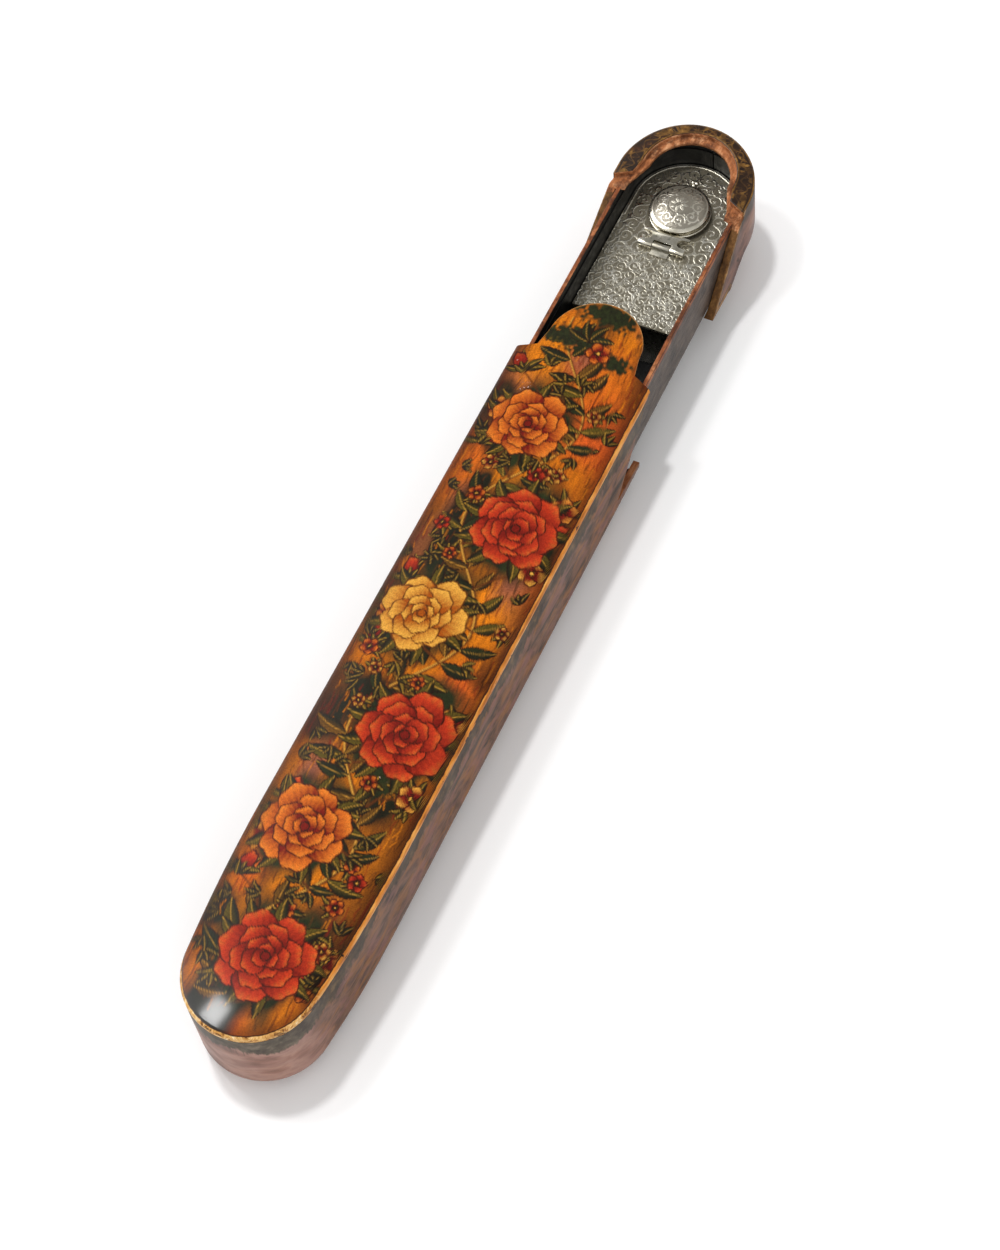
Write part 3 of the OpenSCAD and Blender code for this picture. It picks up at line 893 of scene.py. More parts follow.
def dressed(node, name, bevel=0.12, angle=40):
    """A merged copy of a CAD node with soft edges."""
    piece = add_object(name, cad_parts[node].data.copy())
    piece.data.materials.clear()
    with edited(piece.data) as bm:
        bmesh.ops.remove_doubles(bm, verts=bm.verts, dist=1e-6)
        bmesh.ops.dissolve_limit(bm, angle_limit=math.radians(0.4), verts=bm.verts, edges=bm.edges)
    if bevel:
        mod = piece.modifiers.new("soft edges", "BEVEL")
        mod.width = bevel * MM
        mod.segments = 2
        mod.limit_method = "ANGLE"
        mod.angle_limit = math.radians(angle)
        mod.use_clamp_overlap = True
        bake(piece)
    return smooth(piece)


def lappet_spring(x, y):
    """How far a lappet stands out, as a factor on its place across."""
    back = min(max((HEAD_X - x) / NOTCH_L, 0.0), 1.0)
    return 1 + (LAPPET_SPRING if y > 0 else LAPPET_SPRING_OTHER) / HALF_W * back ** 0.95


def round_foot(v):
    """Round the head's foot at a corner of its mesh, and more so towards the far end."""
    x, y, z = v.co / MM
    past = max(x - FAR_CX, 0.0)
    facing = v.normal.x * past + v.normal.y * y
    t = min(max((x - FAR_CX + BOW_RUN) / BOW_RUN, 0.0), 1.0)
    foot = FOOT_R + (BOW_R - FOOT_R) * t * t * (3 - 2 * t)
    reach = math.hypot(past, y)
    dy, dz = reach - HALF_W + foot, foot - z
    span = math.hypot(dy, dz)
    # The inner skin stays within the outer one
    most = foot if facing > 0.01 or v.normal.z < -0.3 else foot - HEAD_SKIN
    if dy > 0 and dz > 0 and span > most:
        shrink = (HALF_W - foot + dy * most / span) / reach
        if past:
            v.co.x = (FAR_CX + past * shrink) * MM
        v.co.y = y * shrink * MM
        v.co.z = (foot - dz * most / span) * MM


def make_head():
    """The head's end shell, from its solid: a finer mesh, a rounder foot and sprung lappets."""
    piece = dressed("tray_head", "head", bevel=0)
    with edited(piece.data) as bm:
        bmesh.ops.triangulate(bm, faces=bm.faces)
        for _ in range(7):
            long = [e for e in bm.edges if e.calc_length() > 1.1 * MM]
            if not long:
                break
            bmesh.ops.subdivide_edges(bm, edges=long, cuts=1)
            bmesh.ops.triangulate(bm, faces=bm.faces)
        for v in bm.verts:
            round_foot(v)
        # The lappets have sprung outwards, one much more than the other
        for v in bm.verts:
            v.co.y *= lappet_spring(v.co.x / MM, v.co.y)
    smooth(piece)
    x, y, z = coords_mm(piece.data).T
    # Path along the rim and place across it
    round_u = np.arctan2(x - FAR_CX, np.abs(y)) * 16.0
    along = np.where(x > FAR_CX, 20.0 + round_u, x - FAR_CX + 20.0)
    inner = np.where(x > U_CX, U_R - np.hypot(x - U_CX, y), U_R - np.abs(y))
    outer = np.where(x > FAR_CX, HALF_W - np.hypot(x - FAR_CX, y), HALF_W - np.abs(y))
    put_floats(piece.data, "along", along)
    put_floats(piece.data, "from_lip", -inner)
    put_floats(piece.data, "from_edge", outer)
    top = crown_z(np.clip(y, -HALF_W, HALF_W))
    put_floats(piece.data, "below", top - z)
    slope = (x - HEAD_X - MOUTH_GAP + NOTCH_L * (EDGE_H - z) / (EDGE_H - NOTCH_H)) * 0.67
    front = x - HEAD_X + BASE_SET
    lappet = np.where(front < 0, np.minimum(slope, z - NOTCH_H), slope)
    put_floats(piece.data, "from_notch", np.where(z > NOTCH_H, lappet, front))
    for f in piece.data.polygons:
        c = f.center / MM
        c.y /= lappet_spring(c.x, c.y)
        past = max(c.x - FAR_CX, 0.0)
        surface = float(crown_z(min(max(c.y, -HALF_W), HALF_W))) - c.z
        facing = f.normal.y * c.y + f.normal.x * past
        foot = c.z < BOW_R and f.normal.z < 0.2 and (facing > 0 or f.normal.z < -0.2)
        if f.normal.z > 0.7 and surface < 0.4:
            f.material_index = 1
        elif f.normal.z > 0.7 and surface < 3.5:
            f.material_index = 2
        elif math.hypot(past, c.y) > HALF_W - 0.25 or foot:
            f.material_index = 0
        else:
            f.material_index = 3 if surface > 3.5 else 2
    return piece


# Silver work

def curl(cx, cy, size, start, hand, turns=1.5, n=46):
    """Points of a spiral tendril and its width."""
    s = np.linspace(0, 1, n)
    r = size * (1 - s) ** 0.85
    a = start + hand * turns * 2 * math.pi * s
    return np.c_[cx + r * np.cos(a), cy + r * np.sin(a)], 1 - 0.6 * s


def raise_line(height, x, y, pts, widths, width):
    lo, hi = pts.min(0) - 2 * width, pts.max(0) + 2 * width
    at = np.flatnonzero((x > lo[0]) & (x < hi[0]) & (y > lo[1]) & (y < hi[1]))
    if not len(at):
        return
    best = np.full(len(at), -9.0)
    for (ax, ay), (bx, by), w in zip(pts[:-1], pts[1:], widths):
        dx, dy = bx - ax, by - ay
        t = np.clip(((x[at] - ax) * dx + (y[at] - ay) * dy) / max(dx * dx + dy * dy, 1e-9), 0, 1)
        d = np.hypot(x[at] - ax - t * dx, y[at] - ay - t * dy)
        best = np.maximum(best, 1 - (d / (width * w)) ** 2)
    height[at] = np.maximum(height[at], np.clip(best, 0, 1))


def raise_lobe(height, x, y, cx, cy, angle, length, width):
    """A small leaf with a vein down its middle."""
    at = np.flatnonzero((np.abs(x - cx) < length * 1.3) & (np.abs(y - cy) < length * 1.3))
    c, s = math.cos(angle), math.sin(angle)
    u = (x[at] - cx) * c + (y[at] - cy) * s
    v = -(x[at] - cx) * s + (y[at] - cy) * c
    t = u / length
    half = width * np.sin(math.pi * np.clip(t, 0, 1)) ** 0.7
    body = np.where((t > 0) & (t < 1), 1 - (np.abs(v) / np.maximum(half, 0.02)) ** 2, -1)
    vein = 0.45 * np.exp(-(v / (0.16 * width)) ** 2)
    height[at] = np.maximum(height[at], np.clip(body, 0, 1) * (1 - vein))


def scroll_field(x, y, spots, width):
    """Relief from 0 to 1 of tendrils that end in curls, with leaves along them."""
    height = np.zeros(len(x))
    for cx, cy, size, start, hand in spots:
        pts, w = curl(cx, cy, size, start, hand)
        raise_line(height, x, y, pts, w, width)
        for k in (2, 9, 16, 24):
            (ax, ay), (bx, by) = pts[k], pts[k + 1]
            heading = math.atan2(by - ay, bx - ax)
            raise_lobe(height, x, y, ax, ay, heading - hand * 0.9, size * 0.62, size * 0.17)
        root_x, root_y = outward(cx, cy, start, -0.3 * size)
        raise_lobe(height, x, y, root_x, root_y, start, size * 0.5, size * 0.16)
    return height


def scroll_spots(x0, x1, half, size, seed):
    """Places of the curls, in mirrored pairs either side of the middle."""
    rng = np.random.default_rng(seed)
    spots = []
    step = size * 1.72
    for i, cx in enumerate(np.arange(x0, x1, step)):
        for j, cy in enumerate(np.arange(size * 0.85, half, step)):
            s = size * (0.88 + 0.22 * rng.random())
            start = rng.random() * ANY_TURN
            jx, jy = rng.normal(size=2) * size * 0.12
            hand = 1 if (i + j) % 2 else -1
            for side in (-1, 1):
                sx = cx + jx + (j % 2) * size * 0.8
                spots.append((sx, side * (cy + jy), s, start * side, hand * side))
    return spots


def plate_relief(x, y):
    """Engraved relief of the inkwell's plate: broad curls by the lid, close ones in the near half."""
    from_lid = np.hypot(x - LID_X, y)
    hinge_x = LID_X - 12.8
    broad = scroll_field(x, y, scroll_spots(hinge_x - 3, PLATE_HI[0], PLATE_W, 2.5, 21), 0.25)
    close = scroll_field(x, y, scroll_spots(PLATE_LO[0] + 1, hinge_x, PLATE_W, 1.75, 22), 0.2)
    rng = np.random.default_rng(23)
    # Small wisps that fill the ground of the near half
    for _ in range(220):
        wx, wy = rng.uniform(PLATE_LO[0] + 0.5, hinge_x), rng.uniform(-PLATE_W, PLATE_W)
        turn, size, bow = rng.random() * ANY_TURN, rng.uniform(0.5, 1.1), rng.normal() * 0.5
        t = np.linspace(-1, 1, 5)
        c, q = math.cos(turn), math.sin(turn)
        u, v = t * size, bow * (1 - t * t) * size
        raise_line(close, x, y, np.c_[wx + u * c - v * q, wy + u * q + v * c], np.ones(5), 0.17)
    mix = np.clip((x - hinge_x + 4) / 2.5, 0, 1)
    height = close * (1 - mix) + broad * mix
    edge = np.where(x > FAR_CX, PLATE_W - np.hypot(x - FAR_CX, y), PLATE_W - np.abs(y))
    edge = np.minimum(edge, x - PLATE_LO[0])
    arch = np.clip((x - LID_X + 8) / 6, 0, 1)
    height *= 1 - arch * (1 - np.clip((edge - 1.5) / 0.3, 0, 1))
    border = arch * np.exp(-((edge - 1.1) / 0.2) ** 2)
    plain = np.clip((from_lid - STEP_R - 0.5) / 0.4, 0, 1)
    height = np.where((edge < 0.8) & (arch > 0.5), 1.0, height * plain)
    return np.clip(height - 0.9 * border, -0.6, 1.0)


def make_plate():
    """Engraved plate as one closed sheet with the inkwell's mouth cut in it."""
    step = 0.145
    nx = int((PLATE_HI[0] - PLATE_LO[0]) / step)
    ny = int(2 * PLATE_W / step)
    y_rows = np.linspace(-PLATE_W, PLATE_W, ny + 1)
    end = FAR_CX + np.sqrt(np.maximum(PLATE_W ** 2 - y_rows ** 2, 0))
    x = PLATE_LO[0] + (end - PLATE_LO[0])[:, None] * np.linspace(0, 1, nx + 1)
    y = np.repeat(y_rows[:, None], nx + 1, 1)
    x, y = x.ravel(), y.ravel()
    relief = plate_relief(x, y)
    z = PLATE_HI[2] - CUT_DEPTH + CUT_DEPTH * relief
    z = np.where(np.hypot(x - LID_X, y) < STEP_R - 0.5, PLATE_HI[2] - 0.02, z)
    grid = np.arange((ny + 1) * (nx + 1)).reshape(ny + 1, nx + 1)
    faces = sheet(grid)
    centre = np.c_[x[faces].mean(1), y[faces].mean(1)]
    faces = faces[np.hypot(centre[:, 0] - LID_X, centre[:, 1]) > MOUTH_R + 0.28]
    piece = new_piece("plate", np.c_[x, y, z], faces.tolist())
    put_floats(piece.data, "relief", relief)
    with edited(piece.data) as bm:
        bmesh.ops.delete(bm, geom=[v for v in bm.verts if not v.link_faces], context="VERTS")
        rim = [e for e in bm.edges if e.is_boundary]
        down = bmesh.ops.extrude_edge_only(bm, edges=rim)["geom"]
        for v in down:
            if isinstance(v, bmesh.types.BMVert):
                v.co.z = PLATE_LO[2] * MM
        low = [e for e in down if isinstance(e, bmesh.types.BMEdge) and e.is_boundary]
        bmesh.ops.triangle_fill(bm, edges=low, use_beauty=False)
        bmesh.ops.recalc_face_normals(bm, faces=bm.faces)
    return smooth(piece, 50)


def lathe(name, profile, steps=128):
    """A closed profile of radius and height turned about the lid's middle."""
    n = len(profile)
    verts = []
    for a in np.linspace(0, 2 * math.pi, steps, endpoint=False):
        verts += [(*outward(LID_X, 0.0, a, r), z) for r, z in profile]
    faces = []
    for k in range(steps):
        a, b = k * n, ((k + 1) % steps) * n
        faces += [(a + i, a + (i + 1) % n, b + (i + 1) % n, b + i) for i in range(n)]
    return settle(new_piece(name, verts, faces), 35)


def arc(r, z, radius, degrees):
    """Points of a round in a section."""
    return [outward(r, z, a, radius) for a in np.radians(degrees)]


def rounded_ring(r_in, r_out, z0, z1, soft=0.12, n=4):
    """Section of a ring with soft corners."""
    near, far, low, high = r_in + soft, r_out - soft, z0 + soft, z1 - soft
    pts = []
    for r, z, start in ((far, high, 0), (near, high, 90), (near, low, 180), (far, low, 270)):
        pts += arc(r, z, soft, np.linspace(start, start + 90, n + 1))
    return pts


def lid_side():
    """Section of the lid's polished side: a bead at the foot, a shallow hollow and a soft shoulder."""
    r_in = FLANGE_R + 0.05
    z0, z1 = STEP_LO[2], STEP_HI[2]
    bead_r, shoulder_r = 0.28, 0.3
    waist = STEP_R - bead_r
    rise = z1 - z0 - 2 * bead_r - shoulder_r
    bead = arc(waist, z0 + bead_r, bead_r, np.arange(-90, 91, 22.5))
    hollow = [(waist - 0.1 * math.sin(math.pi * t), z0 + 2 * bead_r + rise * t)
              for t in np.linspace(0.15, 1, 6)]
    shoulder = arc(waist - shoulder_r, z1 - shoulder_r, shoulder_r, np.arange(18, 91, 18))
    return [(r_in, z0)] + bead + hollow + shoulder + [(r_in, z1)]


def make_dome(around=220, rings=64):
    """Engraved domed cap: a rosette at the crown and a ring of curls below it."""
    ball = (DOME_R ** 2 + DOME_H ** 2) / (2 * DOME_H)
    base = DOME_LO[2]
    r = DOME_R * np.linspace(0, 1, rings + 1)
    a = np.linspace(0, 2 * math.pi, around, endpoint=False)
    rr, aa = np.meshgrid(r[1:], a, indexing="ij")
    px, py = (rr * np.cos(aa)).ravel(), (rr * np.sin(aa)).ravel()
    rho = np.hypot(px, py)
    spots = []
    for k in range(9):
        t = 2 * math.pi * k / 9
        spots.append((*outward(0.0, 0.0, t, 5.1), 1.8, t + 1.2, 1 if k % 2 else -1))
    relief = scroll_field(px, py, spots, 0.24)
    for k in range(8):
        t = k * math.pi / 4
        raise_lobe(relief, px, py, *outward(0.0, 0.0, t, 0.5), t, 2.0, 0.55)
    inner_ring, outer_ring = 2.95, 7.3
    groove = sum(np.exp(-((rho - at) / 0.16) ** 2) for at in (inner_ring, outer_ring))
    relief = np.clip(np.where(rho > outer_ring, 1.0, relief) - 0.9 * groove, -0.6, 1)
    z = base + np.sqrt(np.maximum(ball ** 2 - rho ** 2, 0)) - (ball - DOME_H)
    z += CUT_DEPTH * relief - CUT_DEPTH
    z = np.where(rho > DOME_R - 1e-6, base, z)
    verts = [(LID_X, 0.0, base + DOME_H - 0.05)] + list(zip(LID_X + px, py, z))
    loops = (1 + np.arange(rings * around)).reshape(rings, around).tolist()
    faces = [(0, b, c) for b, c in zip(loops[0], loops[0][1:] + loops[0][:1])]
    for a_loop, b_loop in zip(loops[:-1], loops[1:]):
        faces += strip(a_loop, b_loop, True)
    relief_all = [0.6] + relief.tolist()
    # Hollow underside
    previous = loops[-1]
    for q in (0.925, 0.75, 0.5, 0.25):
        rho_in = DOME_R * q
        zi = base + max(0.0, math.sqrt(ball ** 2 - rho_in ** 2) - (ball - DOME_H) - SHEET_T)
        row = list(range(len(verts), len(verts) + around))
        verts += [(*outward(LID_X, 0.0, t, rho_in), zi) for t in a]
        relief_all += [0.0] * around
        faces += strip(previous, row, True)
        previous = row
    verts.append((LID_X, 0.0, base + DOME_H - SHEET_T))
    relief_all.append(0.0)
    faces += [(b, len(verts) - 1, c) for b, c in zip(previous[1:] + previous[:1], previous)]
    piece = new_piece("dome", verts, faces)
    put_floats(piece.data, "relief", relief_all)
    with edited(piece.data) as bm:
        bmesh.ops.recalc_face_normals(bm, faces=bm.faces)
    return smooth(piece, 55)


# Balls of the thumb-piece: part of its length, place across, radius and stretch
BUD_BALLS = ((0.30, 0.0, 0.62, 1.3), (0.62, 0.52, 0.68, 1.0),
             (0.62, -0.52, 0.68, 1.0), (0.84, 0.0, 0.42, 1.0))


def make_thumbpiece():
    """Two-lobed bud on a short stem, fused into one skin."""
    z = (BUD_LO[2] + BUD_HI[2]) / 2
    x0 = BUD_LO[0]
    span = BUD_HI[0] - x0
    piece = add_object("thumbpiece", bpy.data.meshes.new("thumbpiece"))
    with edited(piece.data) as bm:
        for dx, dy, r, long in BUD_BALLS:
            size = Matrix.Diagonal((r * long * MM, r * MM, r * MM, 1))
            at = Matrix.Translation(Vector((x0 + dx * span, dy, z)) * MM) @ size
            bmesh.ops.create_uvsphere(bm, u_segments=24, v_segments=16, radius=1.0, matrix=at)
    mod = piece.modifiers.new("fuse", "REMESH")
    mod.mode = "VOXEL"
    mod.voxel_size = 0.07 * MM
    bake(piece)
    piece.data.shade_smooth()
    return piece


# Inked silk in the inkwell

THREAD_L = 2.6
THREAD_R = 0.11
BED_R = 4.6
THREADS_PER_M2 = 1.6e6


def thread_tree():
    """Short bent threads strewn on a surface."""
    tree = bpy.data.node_groups.new("silk threads", "GeometryNodeTree")
    face = tree.interface
    face.new_socket("Geometry", in_out="INPUT", socket_type="NodeSocketGeometry")
    for label, value in (("Thread length", THREAD_L * MM), ("Thread radius", THREAD_R * MM)):
        face.new_socket(label, in_out="INPUT", socket_type="NodeSocketFloat").default_value = value
    face.new_socket("Material", in_out="INPUT", socket_type="NodeSocketMaterial")
    face.new_socket("Geometry", in_out="OUTPUT", socket_type="NodeSocketGeometry")
    came = tree.nodes.new("NodeGroupInput").outputs
    scatter = add_node(tree, "GeometryNodeDistributePointsOnFaces", Mesh=came["Geometry"],
                       Density=THREADS_PER_M2, Seed=5)
    part = add_math(tree, "ShaderNodeMath", "MULTIPLY", came["Thread length"], 0.45)
    half = add_node(tree, "ShaderNodeCombineXYZ", X=part.outputs[0], Z=0.5 * MM)
    whole = add_node(tree, "ShaderNodeCombineXYZ", X=came["Thread length"])
    bow = add_node(tree, "GeometryNodeCurveQuadraticBezier", Resolution=7, Start=(0, 0, 0),
                   Middle=half.outputs[0], End=whole.outputs[0])
    ring = add_node(tree, "GeometryNodeCurvePrimitiveCircle", Resolution=6, Radius=came["Thread radius"])
    tube = add_node(tree, "GeometryNodeCurveToMesh", Curve=bow.outputs[0], Profile_Curve=ring.outputs[0],
                    Fill_Caps=True)
    spin = tree.nodes.new("FunctionNodeRandomValue")
    spin.data_type = "FLOAT_VECTOR"
    for key, value in (("Min", (-0.25, -0.15, 0)), ("Max", (0.25, 0.15, ANY_TURN)), ("Seed", 9)):
        spin.inputs[key].default_value = value
    put = add_node(tree, "GeometryNodeInstanceOnPoints", Points=scatter.outputs["Points"],
                   Instance=tube.outputs[0], Rotation=spin.outputs[0])
    real = add_node(tree, "GeometryNodeRealizeInstances", Geometry=put.outputs[0])
    coat = add_node(tree, "GeometryNodeSetMaterial", Geometry=real.outputs[0], Material=came["Material"])
    add_node(tree, "NodeGroupOutput", Geometry=coat.outputs[0])
    return tree


def make_wad(material):
    """A lumpy wad of silk, and loose threads on its top."""
    radius = min((WAD_HI[0] - WAD_LO[0]) / 2, (WAD_HI[1] - WAD_LO[1]) / 2) - 0.6
    height = WAD_HI[2] - WAD_LO[2] - 0.5
    base = WAD_LO[2] + 0.05
    around, rows = 72, 26
    verts, faces = [], []
    for i in range(1, rows):
        v = math.pi * i / rows - math.pi / 2
        for k in range(around):
            t = 2 * math.pi * k / around
            flat = np.sign(math.sin(v)) * abs(math.sin(v)) ** 0.6
            wide = math.cos(v) ** 0.45
            lump = 1 + 0.05 * math.sin(5 * t + 3 * v) + 0.04 * math.sin(9 * t - 5 * v + 1)
            r = radius * wide * min(lump, 1.04)
            ripple = 0.96 + 0.04 * math.sin(4 * t + r)
            verts.append((*outward(LID_X, 0.0, t, r), base + height * (flat + 1) / 2 * ripple))
    for i in range(rows - 2):
        a = [i * around + k for k in range(around)]
        faces += strip(a, [q + around for q in a], True)
    n = len(verts)
    verts += [(LID_X, 0.0, base), (LID_X, 0.0, base + height)]
    faces += [(n, (k + 1) % around, k) for k in range(around)]
    top = (rows - 2) * around
    faces += [(n + 1, top + k, top + (k + 1) % around) for k in range(around)]
    wad = settle(new_piece("silk_wad", verts, faces), 80)
    threads = add_object("silk_threads", bpy.data.meshes.new("silk_threads"))
    with edited(threads.data) as bm:
        middle = Matrix.Translation((LID_X * MM, 0, (WAD_LO[2] + height - 0.35) * MM))
        bmesh.ops.create_circle(bm, cap_ends=True, segments=32, radius=BED_R * MM, matrix=middle)
    mod = threads.modifiers.new("threads", "NODES")
    tree = thread_tree()
    mod.node_group = tree
    sockets = {s.name: s.identifier for s in tree.interface.items_tree if s.in_out == "INPUT"}
    mod[sockets["Material"]] = material
    mod[sockets["Thread length"]] = THREAD_L * MM
    mod[sockets["Thread radius"]] = THREAD_R * MM
    bake(threads)
    threads.data.shade_smooth()
    return wad, threads


# Finishes

def painted_top_finish():
    f = Finish("painted top under varnish")
    paint = f.field("paint", "Color")
    rim = f.field("rim")
    stipple = f.noise(2600, 2, 0.6)
    paint = f.mix(f.band(stipple, 0.35, 0.7, 0.0, 0.32), paint, linear(60, 30, 12), "MULTIPLY")
    crackle = f.cells(420, "DISTANCE_TO_EDGE", f.stretch(1, 1.7, 1))
    where = f.band(f.noise(45, 3), 0.48, 0.62)
    cracked = f.times(f.band(crackle, 0.03, 0.0), f.times(where, 0.45))
    paint = f.mix(cracked, paint, linear(44, 22, 10))
    # Gold line along one long edge and round the end, with worn places; rubbed away on the other edge
    at_end = f.band(f.axis("X"), END_X + 6, END_X - 8)
    kept = f.most(f.band(f.axis("Y"), 6.0, -6.0), f.band(f.axis("X"), END_X + 2, END_X - 9))
    paint = f.mix(f.band(rim, 5.0, 0.3, 0.0, 0.6), paint, linear(70, 34, 16), "MULTIPLY")
    ragged = f.plus(rim, f.sway(f.noise(420, 4, 0.65), 0.55))
    ragged = f.less(ragged, f.times(at_end, 0.08))
    ragged = f.plus(ragged, f.sum("MULTIPLY_ADD", kept, -0.9, 0.9))
    paint = f.mix(f.band(ragged, 0.95, 0.68, 0.0, 0.85), paint, linear(44, 22, 10))
    line = f.band(ragged, 0.6, 0.46)
    paint = f.mix(line, paint, gold_leaf(f, at_end))
    chip = f.times(f.band(f.noise(120, 5, 0.6), 0.62, 0.65), f.band(rim, 2.2, 0.3))
    paint = f.mix(chip, paint, linear(26, 18, 14))
    scar = f.times(f.band(f.noise(330, 4, 0.7), 0.66, 0.7), f.band(f.noise(38, 2), 0.62, 0.66))
    paint = f.mix(scar, paint, linear(196, 162, 150))
    sheen = f.band(f.noise(110, 4), 0.3, 0.75, 0.26, 0.46)
    f.set(Base_Color=paint, Roughness=sheen, Specular_IOR_Level=0.09, Coat_Roughness=0.1)
    f.set(Coat_Weight=f.band(at_end, 0.2, 1.0, 0.1, 0.28))
    body = f.bump(f.noise(160, 4), 0.12, 0.3)
    f.set(Normal=f.bump(f.less(f.noise(1500, 2), f.plus(chip, scar)), 0.15, 0.12, body))
    return f.material


def gold_leaf(f, at_end):
    """Worn gold, paler towards the closed end."""
    grain = f.noise(600, 3, 0.55, f.stretch(0.2, 1, 1))
    warm = f.tones(grain, (0.3, 150, 84, 30), (0.5, 208, 130, 50), (0.72, 236, 180, 98))
    flakes = f.noise(420, 5, 0.75, bend=0.8)
    pale = f.tones(flakes, (0.4, 58, 38, 18), (0.47, 186, 132, 62),
                   (0.57, 228, 186, 116), (0.66, 250, 234, 190))
    return f.mix(f.times(at_end, 0.8), warm, pale)


def wall_finish():
    f = Finish("painted sides")
    below = f.field("below")
    around = f.field("around")

    def clouds(scale, detail, rough, along=1.0, down=1.0, bend=0.0):
        return f.noise(scale, detail, rough, f.flow(around, below, along, down), bend)

    base = f.tones(clouds(0.26, 5, 0.55, 0.4, 1.0, 0.5), (0.3, 46, 37, 31), (0.42, 84, 62, 50),
                   (0.52, 118, 84, 66), (0.6, 96, 68, 56), (0.72, 58, 46, 38))
    ochre = f.band(clouds(0.3, 3, 0.5, 0.35, 1.0, 0.8), 0.5, 0.62, 0.0, 0.5)
    base = f.mix(ochre, base, linear(146, 94, 46))
    mauve = f.band(clouds(0.22, 3, 0.5, 0.5, 1.1, 0.5), 0.53, 0.62, 0.0, 0.45)
    base = f.mix(mauve, base, linear(132, 88, 82))
    at_end = f.band(f.axis("X"), END_X + 8, END_X - 12)
    rosy = f.tones(clouds(0.2, 4, 0.5, 0.5, 1.0, 0.4), (0.3, 116, 86, 76),
                   (0.46, 154, 116, 104), (0.58, 178, 140, 126), (0.72, 148, 110, 100))
    base = f.mix(f.times(at_end, 0.8), base, rosy)
    fleck = f.band(clouds(0.9, 4, 0.6, 0.3, 1.0, 1.0), 0.6, 0.68, 0.0, 0.4)
    base = f.mix(f.times(fleck, f.band(at_end, 0.0, 1.0, 1.0, 0.3)), base, linear(36, 28, 24))
    # Dark band that hangs unevenly from the gold line, in short strokes
    broad = f.sway(clouds(0.055, 3, 0.6), 20.0)
    strokes = f.sway(clouds(1.0, 3, 0.6, 1.0, 0.12), 5.5)
    hang = f.plus(f.plus(f.less(below, f.times(at_end, 2.0)), broad), strokes)
    speckle = f.noise(300, 5, 0.6)
    dark = f.tones(speckle, (0.35, 40, 32, 22), (0.55, 70, 56, 38), (0.7, 112, 88, 56))
    slate = f.tones(speckle, (0.35, 54, 50, 42), (0.55, 84, 78, 66), (0.7, 116, 106, 90))
    base = f.mix(f.band(hang, 6.8, 5.0, 0.0, 0.93), base, f.mix(at_end, dark, slate))
    ragged = f.plus(below, f.sway(f.noise(420, 4, 0.65), 0.8))
    ragged = f.less(ragged, f.times(at_end, 0.05))
    base = f.mix(f.band(ragged, 1.25, 0.95, 0.0, 0.85), base, linear(40, 24, 14))
    bead = f.band(ragged, 0.9, 0.7)
    base = f.mix(bead, base, gold_leaf(f, at_end))
    chip = f.times(f.band(f.noise(130, 5, 0.6), 0.6, 0.63), f.band(below, 2.0, 0.3))
    base = f.mix(chip, base, linear(24, 18, 16))
    f.set(Base_Color=base, Roughness=f.band(f.noise(60, 3), 0.3, 0.7, 0.38, 0.55), Specular_IOR_Level=0.12)
    f.set(Coat_Weight=0.04, Coat_Roughness=0.25)
    rough_bead = f.times(bead, f.noise(800, 3))
    ground = f.plus(f.times(f.noise(420, 4), 0.5), rough_bead)
    f.set(Normal=f.bump(f.less(ground, chip), 0.14, 0.2))
    return f.material


def board_finish(name, dark, mid, light, rough=0.7, stained=0.0):
    """Bare papier-mache: pressed fibres, in three screen colours."""
    f = Finish(name)
    fibre = f.noise(900, 5, 0.7, f.stretch(0.25, 1, 1))
    grain = f.plus(f.times(fibre, 0.6), f.times(f.noise(170, 4), 0.4))
    colour = f.tones(grain, (0.32, *dark), (0.5, *mid), (0.68, *light))
    stain = f.band(f.noise(150, 5, 0.7), 0.5, 0.62, 0.0, stained)
    colour = f.mix(stain, colour, linear(*dark))
    f.set(Base_Color=colour, Roughness=rough, Specular_IOR_Level=0.2)
    f.set(Normal=f.bump(f.less(fibre, stain), 0.4, 0.2))
    return f.material


def lining_finish():
    f = Finish("black lining")
    cloth = f.noise(500, 5, 0.65)
    colour = f.tones(f.noise(120, 4), (0.4, 6, 6, 6), (0.62, 15, 14, 14), (0.8, 58, 56, 54))
    f.set(Base_Color=colour, Roughness=f.band(cloth, 0.3, 0.7, 0.38, 0.6), Specular_IOR_Level=0.3)
    f.set(Normal=f.bump(cloth, 0.3, 0.2))
    return f.material


